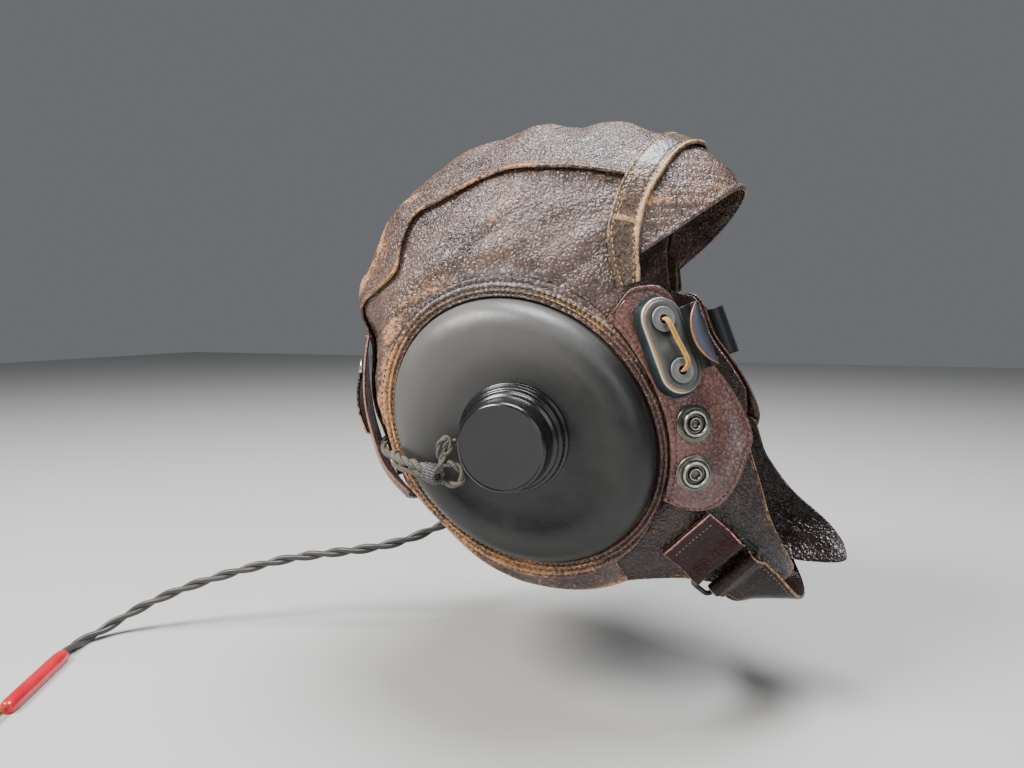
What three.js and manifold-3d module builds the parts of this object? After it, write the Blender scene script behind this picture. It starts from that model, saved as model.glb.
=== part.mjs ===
// Leather flying helmet in its worn form: shell, ear cups with receivers, mask hooks, chin strap and cord.
// Millimetres, +X to the wearer's front, +Y to the wearer's left, +Z up.
// The shell is worked out about a datum point level with the ears; the finished group is then moved so that
// its origin is the seat point at the top of the hollow, where a head carries the helmet.
import * as THREE from 'three';
import { mergeVertices } from 'three/addons/utils/BufferGeometryUtils.js';
import Module from 'manifold-3d';

const wasm = await Module();
wasm.setup();

// Head form
const HALF_LENGTH = 98;          // datum to the back of the shell
const CROWN_HEIGHT = 108;        // datum to the top of the crown
const HALF_WIDTH = 78;           // centre plane to the widest part of the side
const SECTION_POWER = 2.3;       // fullness of the cross-section, 2 is an ellipse
const FRONT_NARROWING = 0.10;    // share of the width lost towards the brow
const TOP_WIDENING = 0.04;       // share of the width gained towards the crown

// Leather
const LEATHER = 1.6;             // thickness of one layer
const LAYER_GAP = 0.5;           // clearance between leather layers and what sits on them
const SEAM_GAP = 0.5;            // clearance between two panels that meet edge to edge
const PATCH_LIFT = 1.2;          // cheek patch over the shell, clear of the seam under it
const FOLD_HEIGHT = 6;           // tallest fold or dent of the worn leather

// Ear cup
const EAR_FORWARD = 9;           // cup centre ahead of the datum
const EAR_DROP = 40.5;           // cup centre below the datum
const EAR_OUT = 68;              // cup centre to the centre plane
const EAR_TILT = 4.6;            // degrees that the cup looks down
const EAR_TOE = 3.4;             // degrees that the cup looks forward
const CUP_HALF_LONG = 67;        // long half of the oval
const CUP_HALF_SHORT = 57.5;     // short half of the oval
const CUP_LEAN = 42;             // degrees that the long half slopes down to the front
const CUP_RISE = 15;             // height of the rubber over the leather
const CUP_WALL = 3;              // rubber thickness
const CUP_SIDE_ROWS = 3;         // rows of the cup section that stand upright
const CUP_SIDES = 24;
const HOLE_MARGIN = 3.5;         // leather left under the rim of the cup

// Receiver
const RECEIVER_RADIUS = 25.8;    // widest ring
const RECEIVER_HEIGHT = 21;      // over the rubber
const RECEIVER_FIT = 0.3;        // clearance to the rubber
const FLANGE_DROP = 1;           // inner flange below the rubber's lip
const FLANGE_WIDTH = 2;
const FLANGE_THICK = 4;
const EARPHONE_DEPTH = 7;        // works of the earphone inside the cup
const EARPHONE_INSET = 4;        // its face inside the neck

// Mask hook
const HOOK_SPACING = 23.6;       // grommet to grommet
const HOOK_PLATE_RADIUS = 10;    // half the plate's width
const HOOK_PLATE_THICK = 4;
const HOOK_LIP_LENGTH = 29;      // length of the bent hook along the plate
const HOOK_REACH = 7;            // radius of the bend
const HOOK_THICK = 2.4;
const HOOK_ROOT = 3;             // the bend starts this far inside the plate's edge
const HOOK_ROOT_RUN = 0.5;       // flat stretch before the bend
const HOOK_RISE = 0.1;           // foot of the bend over the plate's back
const HOOK_LIP_RISE = 3.5;       // straight end of the hook
const HOOK_LIP_THICK = 3.36;
const HOOK_FLAP = 7.5;           // half-moon that folds back from the lip, at its deepest
const HOOK_FLAP_THICK = 1.4;
const GROMMET_RADIUS = 5.6;
const GROMMET_HOLE = 1.9;
const GROMMET_NECK = 3.2;
const GROMMET_HEAD = 1.3;        // head over the plate
const GROMMET_BEVEL = 1;
const GROMMET_DISH = 0.2;        // fall of the head towards its hole
const FIT = 0.3;                 // clearance between hard pieces
const LACE_THICK = 2.6;

// Snap sockets
const SNAP_RADIUS = 8.4;
const SNAP_HEIGHT = 3.2;
const SNAP_HOLE = 4.3;
const SNAP_SEAT = 0.6;           // stand-off of the flat foot over the curved patch
const SNAP_RIM = 1;              // thickness at its edge
const SNAP_TOP_RADIUS = 5.8;

// Chin strap
const STRAP_WIDTH = 26;
const STRAP_THICK = 1.8;
const STRAP_AT = -42.5;          // degrees around the form where the strap runs
const STRAP_LIFT = 1.3;          // strap over the chin leather
const STRAP_FLAT_RISE = 0.1;     // slope of the strap's width under the chin
const STRAP_START_ACROSS = 34;   // degrees across where the strap leaves the buckle
const STRAP_END_ACROSS = -46;    // degrees across where it is sewn on the left
const STRAP_FLAT_ACROSS = 12;    // degrees across up to which it lies flat under the chin
const STRAP_TURN_ACROSS = 22;    // degrees over which it then turns to lie against the jaw
const STRAP_LOOP_WALL = 1.44;    // wall of the loops round the buckle's bars
const STRAP_LINK = 7;            // length of the piece that joins the loop to the strap
const TAB_WIDTH = 29;
const TAB_LENGTH = 20;
const TAB_SAG = 0.4;             // rise of the tab's sewn end over the jaw
const TAB_THICK = 3;
const BUCKLE_ACROSS = 41.7;      // degrees across of the buckle's fixed bar
const BUCKLE_PITCH = 11.5;       // bar to bar
const BUCKLE_BAR = 2.3;
const BUCKLE_SIDE = 2.4;

// Rear straps
const REAR_STRAP_WIDTH = 14;
const REAR_STRAP_STAND_OFF = 3.6; // in the middle, over the lead
const REAR_STRAP_SEAT = 0.5;     // extra stand-off of its ends over seams and folds
const REAR_STRAP = { fromAround: 178, toAround: 234, fromAcross: 34, toAcross: 31 };
const REAR_STRAP_ROWS = 10;
const REAR_STRAP_STEP = 1.35;    // millimetres of the strap's width for one degree across
const REAR_SNAP_RADIUS = 5.5;
const REAR_SNAP_ROW = 2;         // row of the strap that carries the snap

// Leads and cord
const LEAD_THICK = 3.9;
const LOOP_THICK = 3.2;
const LEAD_SIDES = 6;
const CORD_SIDES = 8;
const CORD_THICK = 5.2;
const CORD_STEPS = 25;
const LONG_LEAD_STEPS = 30;
const SHORT_LEAD_STEPS = 12;
const LOOP_STEPS = 6;
const LEAD_RUN_IN = 7;           // last stretch of the leads, straight into the junction
const JUNCTION_RADIUS = 5.4;
const JUNCTION_LENGTH = 18;
const PLUG_RADIUS = 4.3;
const PLUG_LENGTH = 62;
const PIN_RADIUS = 1;
const PIN_LENGTH = 24;

// Outline on the centre plane, every 20 degrees from the brow: share of the half length and crown height
const OUTLINE = [
  { reach: 1.12 }, { reach: 1.24 }, { reach: 1.255 }, { reach: 1.14 }, { reach: 1.05 }, { reach: 1.01 },
  { reach: 1.02 }, { reach: 1.045 }, { reach: 1.035 }, { reach: 0.975 }, { reach: 0.95 }, { reach: 0.975 },
  { reach: 1.02 }, { reach: 1.19 }, { reach: 1.33 }, { reach: 1.49 }, { reach: 1.71 }, { reach: 1.38 },
];

// Folds and dents: where they lie in degrees around and across, how far they spread, height as a share
const FOLDS = [
  { around: 167, across: 27, spread: 9, width: 16, height: 0.75 },
  { around: 181, across: 30, spread: 9, width: 20, height: -0.45 },
  { around: 167, across: -27, spread: 9, width: 16, height: 0.5 },
  { around: 181, across: -30, spread: 9, width: 20, height: -0.3 },
  { around: 138, across: 36, spread: 7, width: 9, height: 0.5 },
  { around: 88, across: 16, spread: 6, width: 14, height: 0.38 },
  { around: 68, across: 6, spread: 6, width: 16, height: 0.4 },
  { around: 77, across: 12, spread: 5, width: 16, height: -0.3 },
  { around: 112, across: 20, spread: 8, width: 12, height: 0.25 },
  { around: 124, across: -14, spread: 9, width: 14, height: 0.3 },
  { around: 100, across: -30, spread: 8, width: 12, height: -0.25 },
  { around: 213, across: 33, spread: 8, width: 9, height: -0.4 },
  { around: 213, across: -33, spread: 8, width: 9, height: -0.4 },
];

// Seam between crown and side panels, with the wave of the photographed one
const SEAM = [
  { around: 52, across: 41.5 }, { around: 60, across: 43 }, { around: 70, across: 44 },
  { around: 80, across: 44 }, { around: 90, across: 43.5 }, { around: 100, across: 44.5 },
  { around: 110, across: 46 },
  { around: 120, across: 46 }, { around: 130, across: 44.5 }, { around: 140, across: 48.5 },
  { around: 150, across: 53 }, { around: 160, across: 47 }, { around: 170, across: 34 },
  { around: 180, across: 31 }, { around: 195, across: 30 }, { around: 210, across: 29.5 },
  { around: 226, across: 29 },
];

// Brow band, from the top of the crown to the temple: its rear edge and its front edge
const BAND = [
  { rear: 54.5, rearAcross: 0, front: 46.5, frontAcross: 0 },
  { rear: 54, rearAcross: 16, front: 47, frontAcross: 13 },
  { rear: 54, rearAcross: 27.5, front: 47.2, frontAcross: 23.5 },
  { rear: 53.5, rearAcross: 37, front: 46, frontAcross: 34 },
  { rear: 51, rearAcross: 49, front: 42.5, frontAcross: 47 },
  { rear: 45.5, rearAcross: 58.5, front: 36.5, frontAcross: 54.5 },
  { rear: 40.5, rearAcross: 62, front: 30, frontAcross: 57.8 },
  { rear: 32.5, rearAcross: 64.5, front: 25, frontAcross: 59 },
  { rear: 23.2, rearAcross: 65, front: 22.2, frontAcross: 59.6 },
];

// Forehead edge of the brow panel
const BROW_EDGE = [
  { across: 0, around: 33.5 }, { across: 16.5, around: 33.2 }, { across: 35.5, around: 32 },
  { across: 48.5, around: 31 }, { across: 57, around: 30.5 },
];

// Ear ring width beyond the cup, every 30 degrees from the front, upwards and back
const RING_WIDTH = [
  { width: 5 }, { width: 5.6 }, { width: 9.5 }, { width: 10.5 }, { width: 10 }, { width: 9.5 },
  { width: 9 }, { width: 6 }, { width: 6.5 }, { width: 9.5 }, { width: 9 }, { width: 5 },
];

// Lower edge of the side panel, from the nape to the jaw: degrees round the cup and distance beyond it
const LOWER_EDGE = [
  { turn: 211, beyond: 9.6 }, { turn: 220, beyond: 8.6 }, { turn: 230, beyond: 8.6 },
  { turn: 241, beyond: 11 }, { turn: 253, beyond: 14.8 }, { turn: 264, beyond: 17.6 },
  { turn: 275, beyond: 18 }, { turn: 286, beyond: 19 }, { turn: 296, beyond: 20 },
  { turn: 304.5, beyond: 20 },
];

// Cheek patch, top to bottom: its rear edge runs round the cup, its front edge is given in degrees
const PATCH = [
  { turn: 52.5, around: 13.8, across: 66.8 },
  { turn: 47, around: 20.6, across: 63 },
  { turn: 42, around: 20.4, across: 58.5 },
  { turn: 36, around: 17.5, across: 54 },
  { turn: 29, around: 9, across: 48 },
  { turn: 22, around: 0, across: 42 },
  { turn: 15, around: -7.5, across: 36.5 },
  { turn: 8, around: -13.5, across: 33.5 },
  { turn: 1, around: -19, across: 32.2 },
  { turn: -6, around: -23.5, across: 36 },
  { turn: -13, around: -29.5, across: 42 },
  { turn: -19, around: -35.5, across: 48.5 },
  { turn: -24, around: -39, across: 54.5 },
];

// Chin curtain: the line where it joins the side panel, its free edge, and the flare of the loose one
const JOINT_UNDER_PATCH = [
  { around: -19.5, across: 36.5 }, { around: -23, across: 41 }, { around: -28, across: 46.5 },
  { around: -33, across: 52 }, { around: -37.5, across: 56.5 },
];
const JOINT_UNDER_RING = [{ turn: -27 }, { turn: -33 }, { turn: -39 }, { turn: -46 }, { turn: -54 }];
const CURTAIN_EDGE = [
  { around: -20.5, across: 33, flare: 0 }, { around: -26, across: 31.5, flare: 0 },
  { around: -31.5, across: 28.5, flare: 0.35 }, { around: -35, across: 20, flare: 0.9 },
  { around: -37.5, across: 8, flare: 1 }, { around: -39.5, across: 12, flare: 0.5 },
  { around: -41.5, across: 20, flare: 0 }, { around: -45, across: 29, flare: 0 },
  { around: -50, across: 37, flare: 0 },
];
const FLARE = 26;                // how far the loose left curtain's tip stands forward

// Cup section from the rim to the receiver: share of the way in, and shares of the rise outside and inside
const CUP_SECTION = [
  { inward: 0, height: 0, inside: 0 }, { inward: 0.01, height: 0.3, inside: 0.135 },
  { inward: 0.08, height: 0.66, inside: 0.495 }, { inward: 0.22, height: 0.94, inside: 0.74 },
  { inward: 0.42, height: 1, inside: 0.8 }, { inward: 0.86, height: 0.84, inside: 0.64 },
  { inward: 1, height: 0.95, inside: 0.75 },
];

// Receiver section: radius as a share of the widest ring, height as a share of the height over the rubber
const RECEIVER_SECTION = [
  { radius: 1, height: 0 }, { radius: 1, height: 0.17 }, { radius: 0.93, height: 0.2 },
  { radius: 0.93, height: 0.32 }, { radius: 0.85, height: 0.38 }, { radius: 0.79, height: 0.92 },
  { radius: 0.72, height: 1 },
];

// Routes chosen by hand, datum frame. The right lead goes under the right rear strap and round the nape
// outside the leather: degrees around and across and the lift over the surface.
const LEAD_NAPE_ROUTE = [
  { around: 224, across: 43, lift: 6.8 }, { around: 218.5, across: 38.5, lift: 4.6 },
  { around: 214, across: 32.5, lift: 2.7 }, { around: 212, across: 24, lift: 2.7 },
  { around: 211, across: 12, lift: 2.7 }, { around: 210, across: 0, lift: 2.7 },
  { around: 211, across: -12, lift: 2.7 }, { around: 212, across: -24, lift: 2.7 },
  { around: 214, across: -32.5, lift: 2.7 }, { around: 218.5, across: -38.5, lift: 4.6 },
];
// From the knot to the receiver, in the cup's plane: forward, up and out from the cup's centre
const KNOT_ROUTE = [
  [-60.5, -15.8, 12.8], [-54.5, -16.6, 17.3], [-48, -17.2, 19], [-41, -17.8, 20.5], [-35.5, -15.8, 21.5],
  [-32.2, -10.5, 21.5], [-31, -4.8, 19.8], [-26.4, -2, 18],
];
const KNOT_CENTRE = [-38, -17.3, 20.9];
const KNOT_TURNS = [
  { along: -2.5, radius: 2.9, tilt: 20 }, { along: 2.8, radius: 2.8, tilt: -20 },
];
const LOOP_ROUTE = [
  [-36, -18.8, 20], [-31.5, -21.6, 20.5], [-26.6, -22, 20.5], [-23.3, -18.8, 20.5], [-24.4, -14.2, 21],
  [-28.4, -12, 21.3], [-32, -12.4, 21.5],
];

// Free cord, datum frame: from the junction behind the left cup down to the surface that the head stands on
const CORD_ROUTE = [
  [-62, 72, -94], [-67, 67, -104], [-73, 57, -113], [-81, 44.5, -120.5], [-93, 32, -126.5],
  [-108, 21.5, -131.5], [-128, 13, -135.5], [-152, 6, -139], [-175, -3, -142.5], [-195, -15, -147],
  [-214, -26, -152.5], [-232, -37, -159], [-246.5, -47, -166], [-257, -56, -172.5], [-263, -66, -177.6],
  [-264.8, -77, -179.4], [-262.6, -87, -179.4], [-258.5, -96, -179.4],
];

const rad = THREE.MathUtils.degToRad;
const deg = THREE.MathUtils.radToDeg;
const lerp = THREE.MathUtils.lerp;
const clamp01 = (value) => Math.min(1, Math.max(0, value));
const smooth = (value) => clamp01(value) ** 2 * (3 - 2 * clamp01(value));
const vec = (x, y, z) => new THREE.Vector3(x, y, z);

// Smooth curve through four neighbouring values
function through(before, from, to, after, t) {
  const bend = t * (2 * before - 5 * from + 4 * to - after + t * (3 * (from - to) + after - before));
  return from + 0.5 * t * (to - before + bend);
}

// A closed table of evenly spaced rows, read at an angle
function roundTable(rows, key, angle) {
  const place = (((angle % 360) + 360) % 360) / (360 / rows.length);
  const row = Math.floor(place);
  const value = (offset) => rows[(row + offset + rows.length) % rows.length][key];
  return through(value(-1), value(0), value(1), value(2), place - row);
}

// An open table read at a share of its length
function openTable(rows, key, share) {
  const place = clamp01(share) * (rows.length - 1);
  const row = Math.min(Math.floor(place), rows.length - 2);
  const value = (offset) => rows[Math.min(Math.max(row + offset, 0), rows.length - 1)][key];
  return through(value(-1), value(0), value(1), value(2), place - row);
}

// An open table read by the value of another column
function lookUp(rows, key, by, at) {
  const last = rows.findIndex((row) => row[by] >= at);
  if (last === 0) return rows[0][key];
  if (last < 0) return rows[rows.length - 1][key];
  const [low, high] = [rows[last - 1], rows[last]];
  return lerp(low[key], high[key], (at - low[by]) / (high[by] - low[by]));
}

// Ear plane: the flat seat of each cup, on the wearer's right (-Y)
const SLOPE_UP = Math.tan(rad(EAR_TILT));
const SLOPE_FORWARD = -Math.tan(rad(EAR_TOE));
const FLAT_EDGE = 1.08;          // share of the cup's oval that is quite flat
const FLAT_FADE = 0.42;          // share over which the shell returns to its own form
const FLAT_ACROSS = 15;          // degrees across where the flat starts to act
const FLAT_ACROSS_FADE = 20;

function ovalRadius(turn) {
  const own = rad(turn + CUP_LEAN);
  return 1 / Math.hypot(Math.cos(own) / CUP_HALF_LONG, Math.sin(own) / CUP_HALF_SHORT);
}

function earPlaneOut(x, z) {
  return EAR_OUT + SLOPE_UP * (z + EAR_DROP) + SLOPE_FORWARD * (x - EAR_FORWARD);
}

function flatness(x, z, across) {
  const [dx, dz] = [x - EAR_FORWARD, z + EAR_DROP];
  const share = Math.hypot(dx, dz) / ovalRadius(deg(Math.atan2(dz, dx)));
  const inPlane = 1 - smooth((share - FLAT_EDGE) / FLAT_FADE);
  return inPlane * smooth((Math.abs(across) - FLAT_ACROSS) / FLAT_ACROSS_FADE);
}

// Point of the form at degrees around (0 brow, 90 crown, 180 back) and across (0 centre, 90 right ear)
function formPoint(around, across) {
  const reach = roundTable(OUTLINE, 'reach', around);
  const inward = Math.abs(Math.cos(rad(across))) ** (2 / SECTION_POWER);
  const outward = Math.abs(Math.sin(rad(across))) ** (2 / SECTION_POWER);
  const x = HALF_LENGTH * reach * Math.cos(rad(around)) * inward;
  const z = CROWN_HEIGHT * reach * Math.sin(rad(around)) * inward;
  const width = HALF_WIDTH * (1 - (FRONT_NARROWING * x) / HALF_LENGTH + (TOP_WIDENING * z) / CROWN_HEIGHT);
  const out = lerp(width * outward, earPlaneOut(x, z), flatness(x, z, across));
  return vec(x, across >= 0 ? -out : out, z);
}

// The side seen as a flat map round the ear: used for smooth steps and for normals
function toMap(around, across) {
  const radius = (1 - across / 90) * roundTable(OUTLINE, 'reach', around);
  return [radius * Math.cos(rad(around)), radius * Math.sin(rad(around))];
}

function fromMap([a, b]) {
  const around = deg(Math.atan2(b, a));
  return { around, across: 90 * (1 - Math.hypot(a, b) / roundTable(OUTLINE, 'reach', around)) };
}

function foldLift(around, across) {
  return FOLDS.reduce((sum, fold) => {
    const turn = ((((around - fold.around) % 360) + 540) % 360) - 180;
    const away = (turn / fold.spread) ** 2 + ((across - fold.across) / fold.width) ** 2;
    return sum + FOLD_HEIGHT * fold.height * Math.exp(-away);
  }, 0);
}

const NORMAL_STEP = 0.005;

function formNormal(around, across) {
  const side = across < 0 ? -1 : 1;
  const [a, b] = toMap(around, Math.abs(across));
  const at = (da, db) => {
    const place = fromMap([a + da, b + db]);
    return formPoint(place.around, place.across);
  };
  const alongA = at(NORMAL_STEP, 0).sub(at(-NORMAL_STEP, 0));
  const alongB = at(0, NORMAL_STEP).sub(at(0, -NORMAL_STEP));
  const normal = alongA.cross(alongB).normalize();
  return vec(normal.x, normal.y * side, normal.z);
}

function surface(around, across, lift = 0) {
  const height = lift + foldLift(around, across);
  return formPoint(around, across).addScaledVector(formNormal(around, across), height);
}

// Degrees on the form of a point of the side view
function anglesOf(x, z) {
  const around = deg(Math.atan2(z / CROWN_HEIGHT, x / HALF_LENGTH));
  const share = Math.hypot(x / HALF_LENGTH, z / CROWN_HEIGHT) / roundTable(OUTLINE, 'reach', around);
  return { around, across: deg(Math.acos(Math.min(1, share) ** (SECTION_POWER / 2))) };
}

// A place round the cup: degrees about its centre, and millimetres beyond its outline
function roundCup(turn, beyond) {
  const radius = ovalRadius(turn) + beyond;
  return anglesOf(EAR_FORWARD + radius * Math.cos(rad(turn)), -EAR_DROP + radius * Math.sin(rad(turn)));
}

function turnOf({ around, across }) {
  const point = formPoint(around, across);
  return deg(Math.atan2(point.z + EAR_DROP, point.x - EAR_FORWARD));
}

const ringWidth = (turn) => roundTable(RING_WIDTH, 'width', turn);

// Turns a geometry the right way out
function facingOut(geometry) {
  const bare = geometry.clone();
  Object.keys(bare.attributes).forEach((key) => key !== 'position' && bare.deleteAttribute(key));
  const merged = mergeVertices(bare, 1e-4);
  const [points, index] = [merged.attributes.position, merged.index];
  const corner = (i) => vec().fromBufferAttribute(points, index.getX(i));
  let volume = 0;
  for (let i = 0; i < index.count; i += 3) {
    volume += corner(i).dot(corner(i + 1).cross(corner(i + 2)));
  }
  if (volume < 0) {
    for (let i = 0; i < index.count; i += 3) {
      const first = index.getX(i);
      index.setX(i, index.getX(i + 1));
      index.setX(i + 1, first);
    }
  }
  merged.computeVertexNormals();
  return merged;
}

// A closed sheet: rows of {inner, outer} points; closed sheets join their last row to the first
function sheet(rows, closed = false) {
  const [count, width] = [rows.length, rows[0].length];
  const corners = rows.flat().flatMap(({ inner, outer }) => [...inner.toArray(), ...outer.toArray()]);
  const at = (row, col, outer) => 2 * ((row % count) * width + col) + outer;
  const faces = [];
  const quad = (a, b, c, d) => faces.push(a, b, c, a, c, d);
  const spans = closed ? count : count - 1;
  for (let row = 0; row < spans; row += 1) {
    for (let col = 0; col < width - 1; col += 1) {
      quad(at(row, col, 1), at(row + 1, col, 1), at(row + 1, col + 1, 1), at(row, col + 1, 1));
      quad(at(row, col, 0), at(row, col + 1, 0), at(row + 1, col + 1, 0), at(row + 1, col, 0));
    }
    quad(at(row, 0, 0), at(row + 1, 0, 0), at(row + 1, 0, 1), at(row, 0, 1));
    quad(at(row, width - 1, 1), at(row + 1, width - 1, 1), at(row + 1, width - 1, 0), at(row, width - 1, 0));
  }
  if (!closed) {
    for (let col = 0; col < width - 1; col += 1) {
      quad(at(0, col, 0), at(0, col, 1), at(0, col + 1, 1), at(0, col + 1, 0));
      quad(at(spans, col, 1), at(spans, col, 0), at(spans, col + 1, 0), at(spans, col + 1, 1));
    }
  }
  const geometry = new THREE.BufferGeometry();
  geometry.setAttribute('position', new THREE.Float32BufferAttribute(corners, 3));
  geometry.setIndex(faces);
  return facingOut(geometry);
}

// Leather between two lifts over the form
const BASE = { inner: -LEATHER, outer: 0 };
const UPPER = { inner: LAYER_GAP, outer: LAYER_GAP + LEATHER };
const PATCH_LAYER = { inner: PATCH_LIFT, outer: PATCH_LIFT + LEATHER };

function leather({ around, across }, layer, extra = 0) {
  return {
    inner: surface(around, across, layer.inner + extra),
    outer: surface(around, across, layer.outer + extra),
  };
}

function steps(count, make) {
  return Array.from({ length: count + 1 }, (_, i) => make(i / count, i));
}

// The sheet between two lines of places, each line a list of {around, across}
function between(first, second, columns, layer, closed = false, extra = () => 0) {
  const rows = first.map((from, row) => {
    const [start, end] = [toMap(from.around, from.across), toMap(second[row].around, second[row].across)];
    return steps(columns, (t) => {
      const place = fromMap([lerp(start[0], end[0], t), lerp(start[1], end[1], t)]);
      return leather(place, layer, extra(row / (first.length - 1), t));
    });
  });
  return sheet(rows, closed);
}

// A lathe of rows [radius, height] about an axis
function turned(rows, sides) {
  return new THREE.LatheGeometry(rows.map(([radius, height]) => new THREE.Vector2(radius, height)), sides);
}

function placed(geometry, point, axis, front = vec(0, 0, 1)) {
  const y = axis.clone().normalize();
  const x = front.clone().addScaledVector(y, -front.dot(y)).normalize();
  const z = vec().crossVectors(x, y);
  const matrix = new THREE.Matrix4().makeBasis(x, y, z).setPosition(point);
  return geometry.clone().applyMatrix4(matrix);
}

function solidOf(geometry) {
  const merged = facingOut(geometry);
  const mesh = new wasm.Mesh({
    numProp: 3,
    vertProperties: Float32Array.from(merged.attributes.position.array),
    triVerts: Uint32Array.from(merged.index.array),
  });
  return new wasm.Manifold(mesh);
}

function geometryOf(solid) {
  const mesh = solid.getMesh();
  const geometry = new THREE.BufferGeometry();
  geometry.setAttribute('position', new THREE.BufferAttribute(Float32Array.from(mesh.vertProperties), 3));
  geometry.setIndex(new THREE.BufferAttribute(Uint32Array.from(mesh.triVerts), 1));
  return geometry;
}

const joined = (...parts) => geometryOf(parts.map(solidOf).reduce((whole, part) => whole.add(part)));

function cut(body, ...tools) {
  return geometryOf(tools.map(solidOf).reduce((whole, tool) => whole.subtract(tool), solidOf(body)));
}

function roundSection(thick, sides) {
  return new THREE.Shape(Array.from({ length: sides }, (_, i) => {
    const angle = (2 * Math.PI * i) / sides;
    return new THREE.Vector2((thick / 2) * Math.cos(angle), (thick / 2) * Math.sin(angle));
  }));
}

function tube(points, thick, stepCount, sides = LEAD_SIDES) {
  const path = new THREE.CatmullRomCurve3(points, false, 'centripetal');
  return new THREE.ExtrudeGeometry(roundSection(thick, sides), {
    steps: stepCount, extrudePath: path, bevelEnabled: false,
  });
}

// Materials
const finish = (color, roughness, metalness) => (
  new THREE.MeshStandardMaterial({ color, roughness, metalness }));
const MATERIALS = {
  shell: () => finish(0x3a2a25, 0.5, 0),
  reddish: () => finish(0x4a241d, 0.45, 0),
  rubber: () => finish(0x1d1c1b, 0.55, 0),
  bakelite: () => finish(0x0c0c0c, 0.15, 0),
  metal: () => finish(0x2a2c2b, 0.4, 0.85),
  lace: () => finish(0xb98a3c, 0.7, 0),
  lead: () => finish(0x4a443a, 0.8, 0),
  cord: () => finish(0x2b2724, 0.6, 0),
  plug: () => finish(0xc41f26, 0.3, 0),
  brass: () => finish(0xa8874a, 0.35, 0.9),
};

const helmet = new THREE.Group();

function add(name, geometry, material) {
  const mesh = new THREE.Mesh(facingOut(geometry), MATERIALS[material]());
  mesh.name = name;
  helmet.add(mesh);
  return mesh;
}

const mirrored = (geometry) => geometry.clone().applyMatrix4(new THREE.Matrix4().makeScale(1, -1, 1));

function addPair(name, geometry, material) {
  add(`${name}_right`, geometry, material);
  add(`${name}_left`, mirrored(geometry), material);
}

// Shell: crown and side panels share the places of the seam
const RING_COVER = 1.6;          // the ring reaches this far over the joint under it
const PANEL_COLUMNS = 4;
const CORNER_TURN = 0.9;         // degrees round the cup between the corners of side panel and curtain
const MAP_UNIT = 130;            // millimetres of leather for one unit of the map
const BAND_GAP = 0.8;            // degrees left open under the brow band on each side of its middle
const bandMiddle = (share) => ({
  around: (openTable(BAND, 'rear', share) + openTable(BAND, 'front', share)) / 2,
  across: (openTable(BAND, 'rearAcross', share) + openTable(BAND, 'frontAcross', share)) / 2,
});
const BAND_LINE = steps(16, bandMiddle);
const bandAround = (across) => lookUp(BAND_LINE, 'around', 'across', Math.abs(across));
const CROWN_COLUMNS = 10;
const BAND_SEAM_SHARE = 0.44;    // share of the band's half length where the crown seam meets it

function crownPanel() {
  const rows = SEAM.map((seam, row) => steps(CROWN_COLUMNS, (t) => {
    const across = seam.across * (2 * t - 1);
    return { around: row === 0 ? bandAround(across) + BAND_GAP : seam.around, across };
  }));
  return sheet(rows.map((row) => row.map((place) => leather(place, BASE))));
}

function sideOutline() {
  const seam = SEAM.map((place, row) => (row === 0 ? { ...place, around: bandAround(place.across) } : place));
  const lower = LOWER_EDGE.map(({ turn, beyond }) => roundCup(turn, beyond));
  const front = PATCH.slice(2, 8).reverse().map(({ around, across }) => ({ around, across }));
  const band = steps(4, (t) => bandMiddle(lerp(0.94, BAND_SEAM_SHARE + 0.06, t)));
  return [...seam, ...lower, ...jointLine().reverse(), ...front, ...band];
}

// Line where the side panel meets the chin curtain, hidden under the patch and the ear ring
function jointLine() {
  const ring = JOINT_UNDER_RING.map(({ turn }) => roundCup(turn, ringWidth(turn) - RING_COVER));
  return [...JOINT_UNDER_PATCH, ...ring];
}

function pulled({ around, across }, distance) {
  const centre = anglesOf(EAR_FORWARD, -EAR_DROP);
  const [from, to] = [toMap(around, across), toMap(centre.around, centre.across)];
  const share = distance / MAP_UNIT / Math.hypot(from[0] - to[0], from[1] - to[1]);
  return fromMap([lerp(from[0], to[0], share), lerp(from[1], to[1], share)]);
}

function sidePanel() {
  const outline = sideOutline().map((place) => pulled(place, SEAM_GAP));
  const hole = outline.map((place) => roundCup(turnOf(place), -HOLE_MARGIN));
  return between(hole, outline, PANEL_COLUMNS, BASE, true);
}

// Its last row runs beside the side panel, down to the same lower corner
function chinCurtain(flare) {
  const joint = jointLine().map((place) => pulled(place, -SEAM_GAP));
  const { turn, beyond } = LOWER_EDGE.at(-1);
  const edge = [...CURTAIN_EDGE, { ...roundCup(turn + CORNER_TURN, beyond), flare: 0 }];
  return sheet(joint.map((from, row) => {
    const to = edge[row];
    const [start, end] = [toMap(from.around, from.across), toMap(to.around, to.across)];
    return steps(PANEL_COLUMNS, (t) => {
      const forward = vec(flare * to.flare * t * t, 0, 0);
      const { inner, outer } = leather(fromMap([lerp(start[0], end[0], t), lerp(start[1], end[1], t)]), BASE);
      return { inner: inner.add(forward), outer: outer.add(forward) };
    });
  }));
}

function browPanel() {
  const reach = 57;
  const rows = steps(14, (t) => {
    const across = reach * (2 * t - 1);
    const edge = lookUp(BROW_EDGE, 'around', 'across', Math.abs(across));
    const middle = bandAround(across) - BAND_GAP;
    return steps(3, (u) => leather({ around: lerp(edge, middle, u), across }, BASE));
  });
  return sheet(rows);
}

function browBand() {
  const rows = steps(22, (t) => {
    const share = Math.abs(2 * t - 1);
    const side = t < 0.5 ? -1 : 1;
    return steps(2, (u) => leather({
      around: lerp(openTable(BAND, 'rear', share), openTable(BAND, 'front', share), u),
      across: side * lerp(openTable(BAND, 'rearAcross', share), openTable(BAND, 'frontAcross', share), u),
    }, UPPER));
  });
  return sheet(rows);
}

const RING_ROWS = 36;

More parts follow.
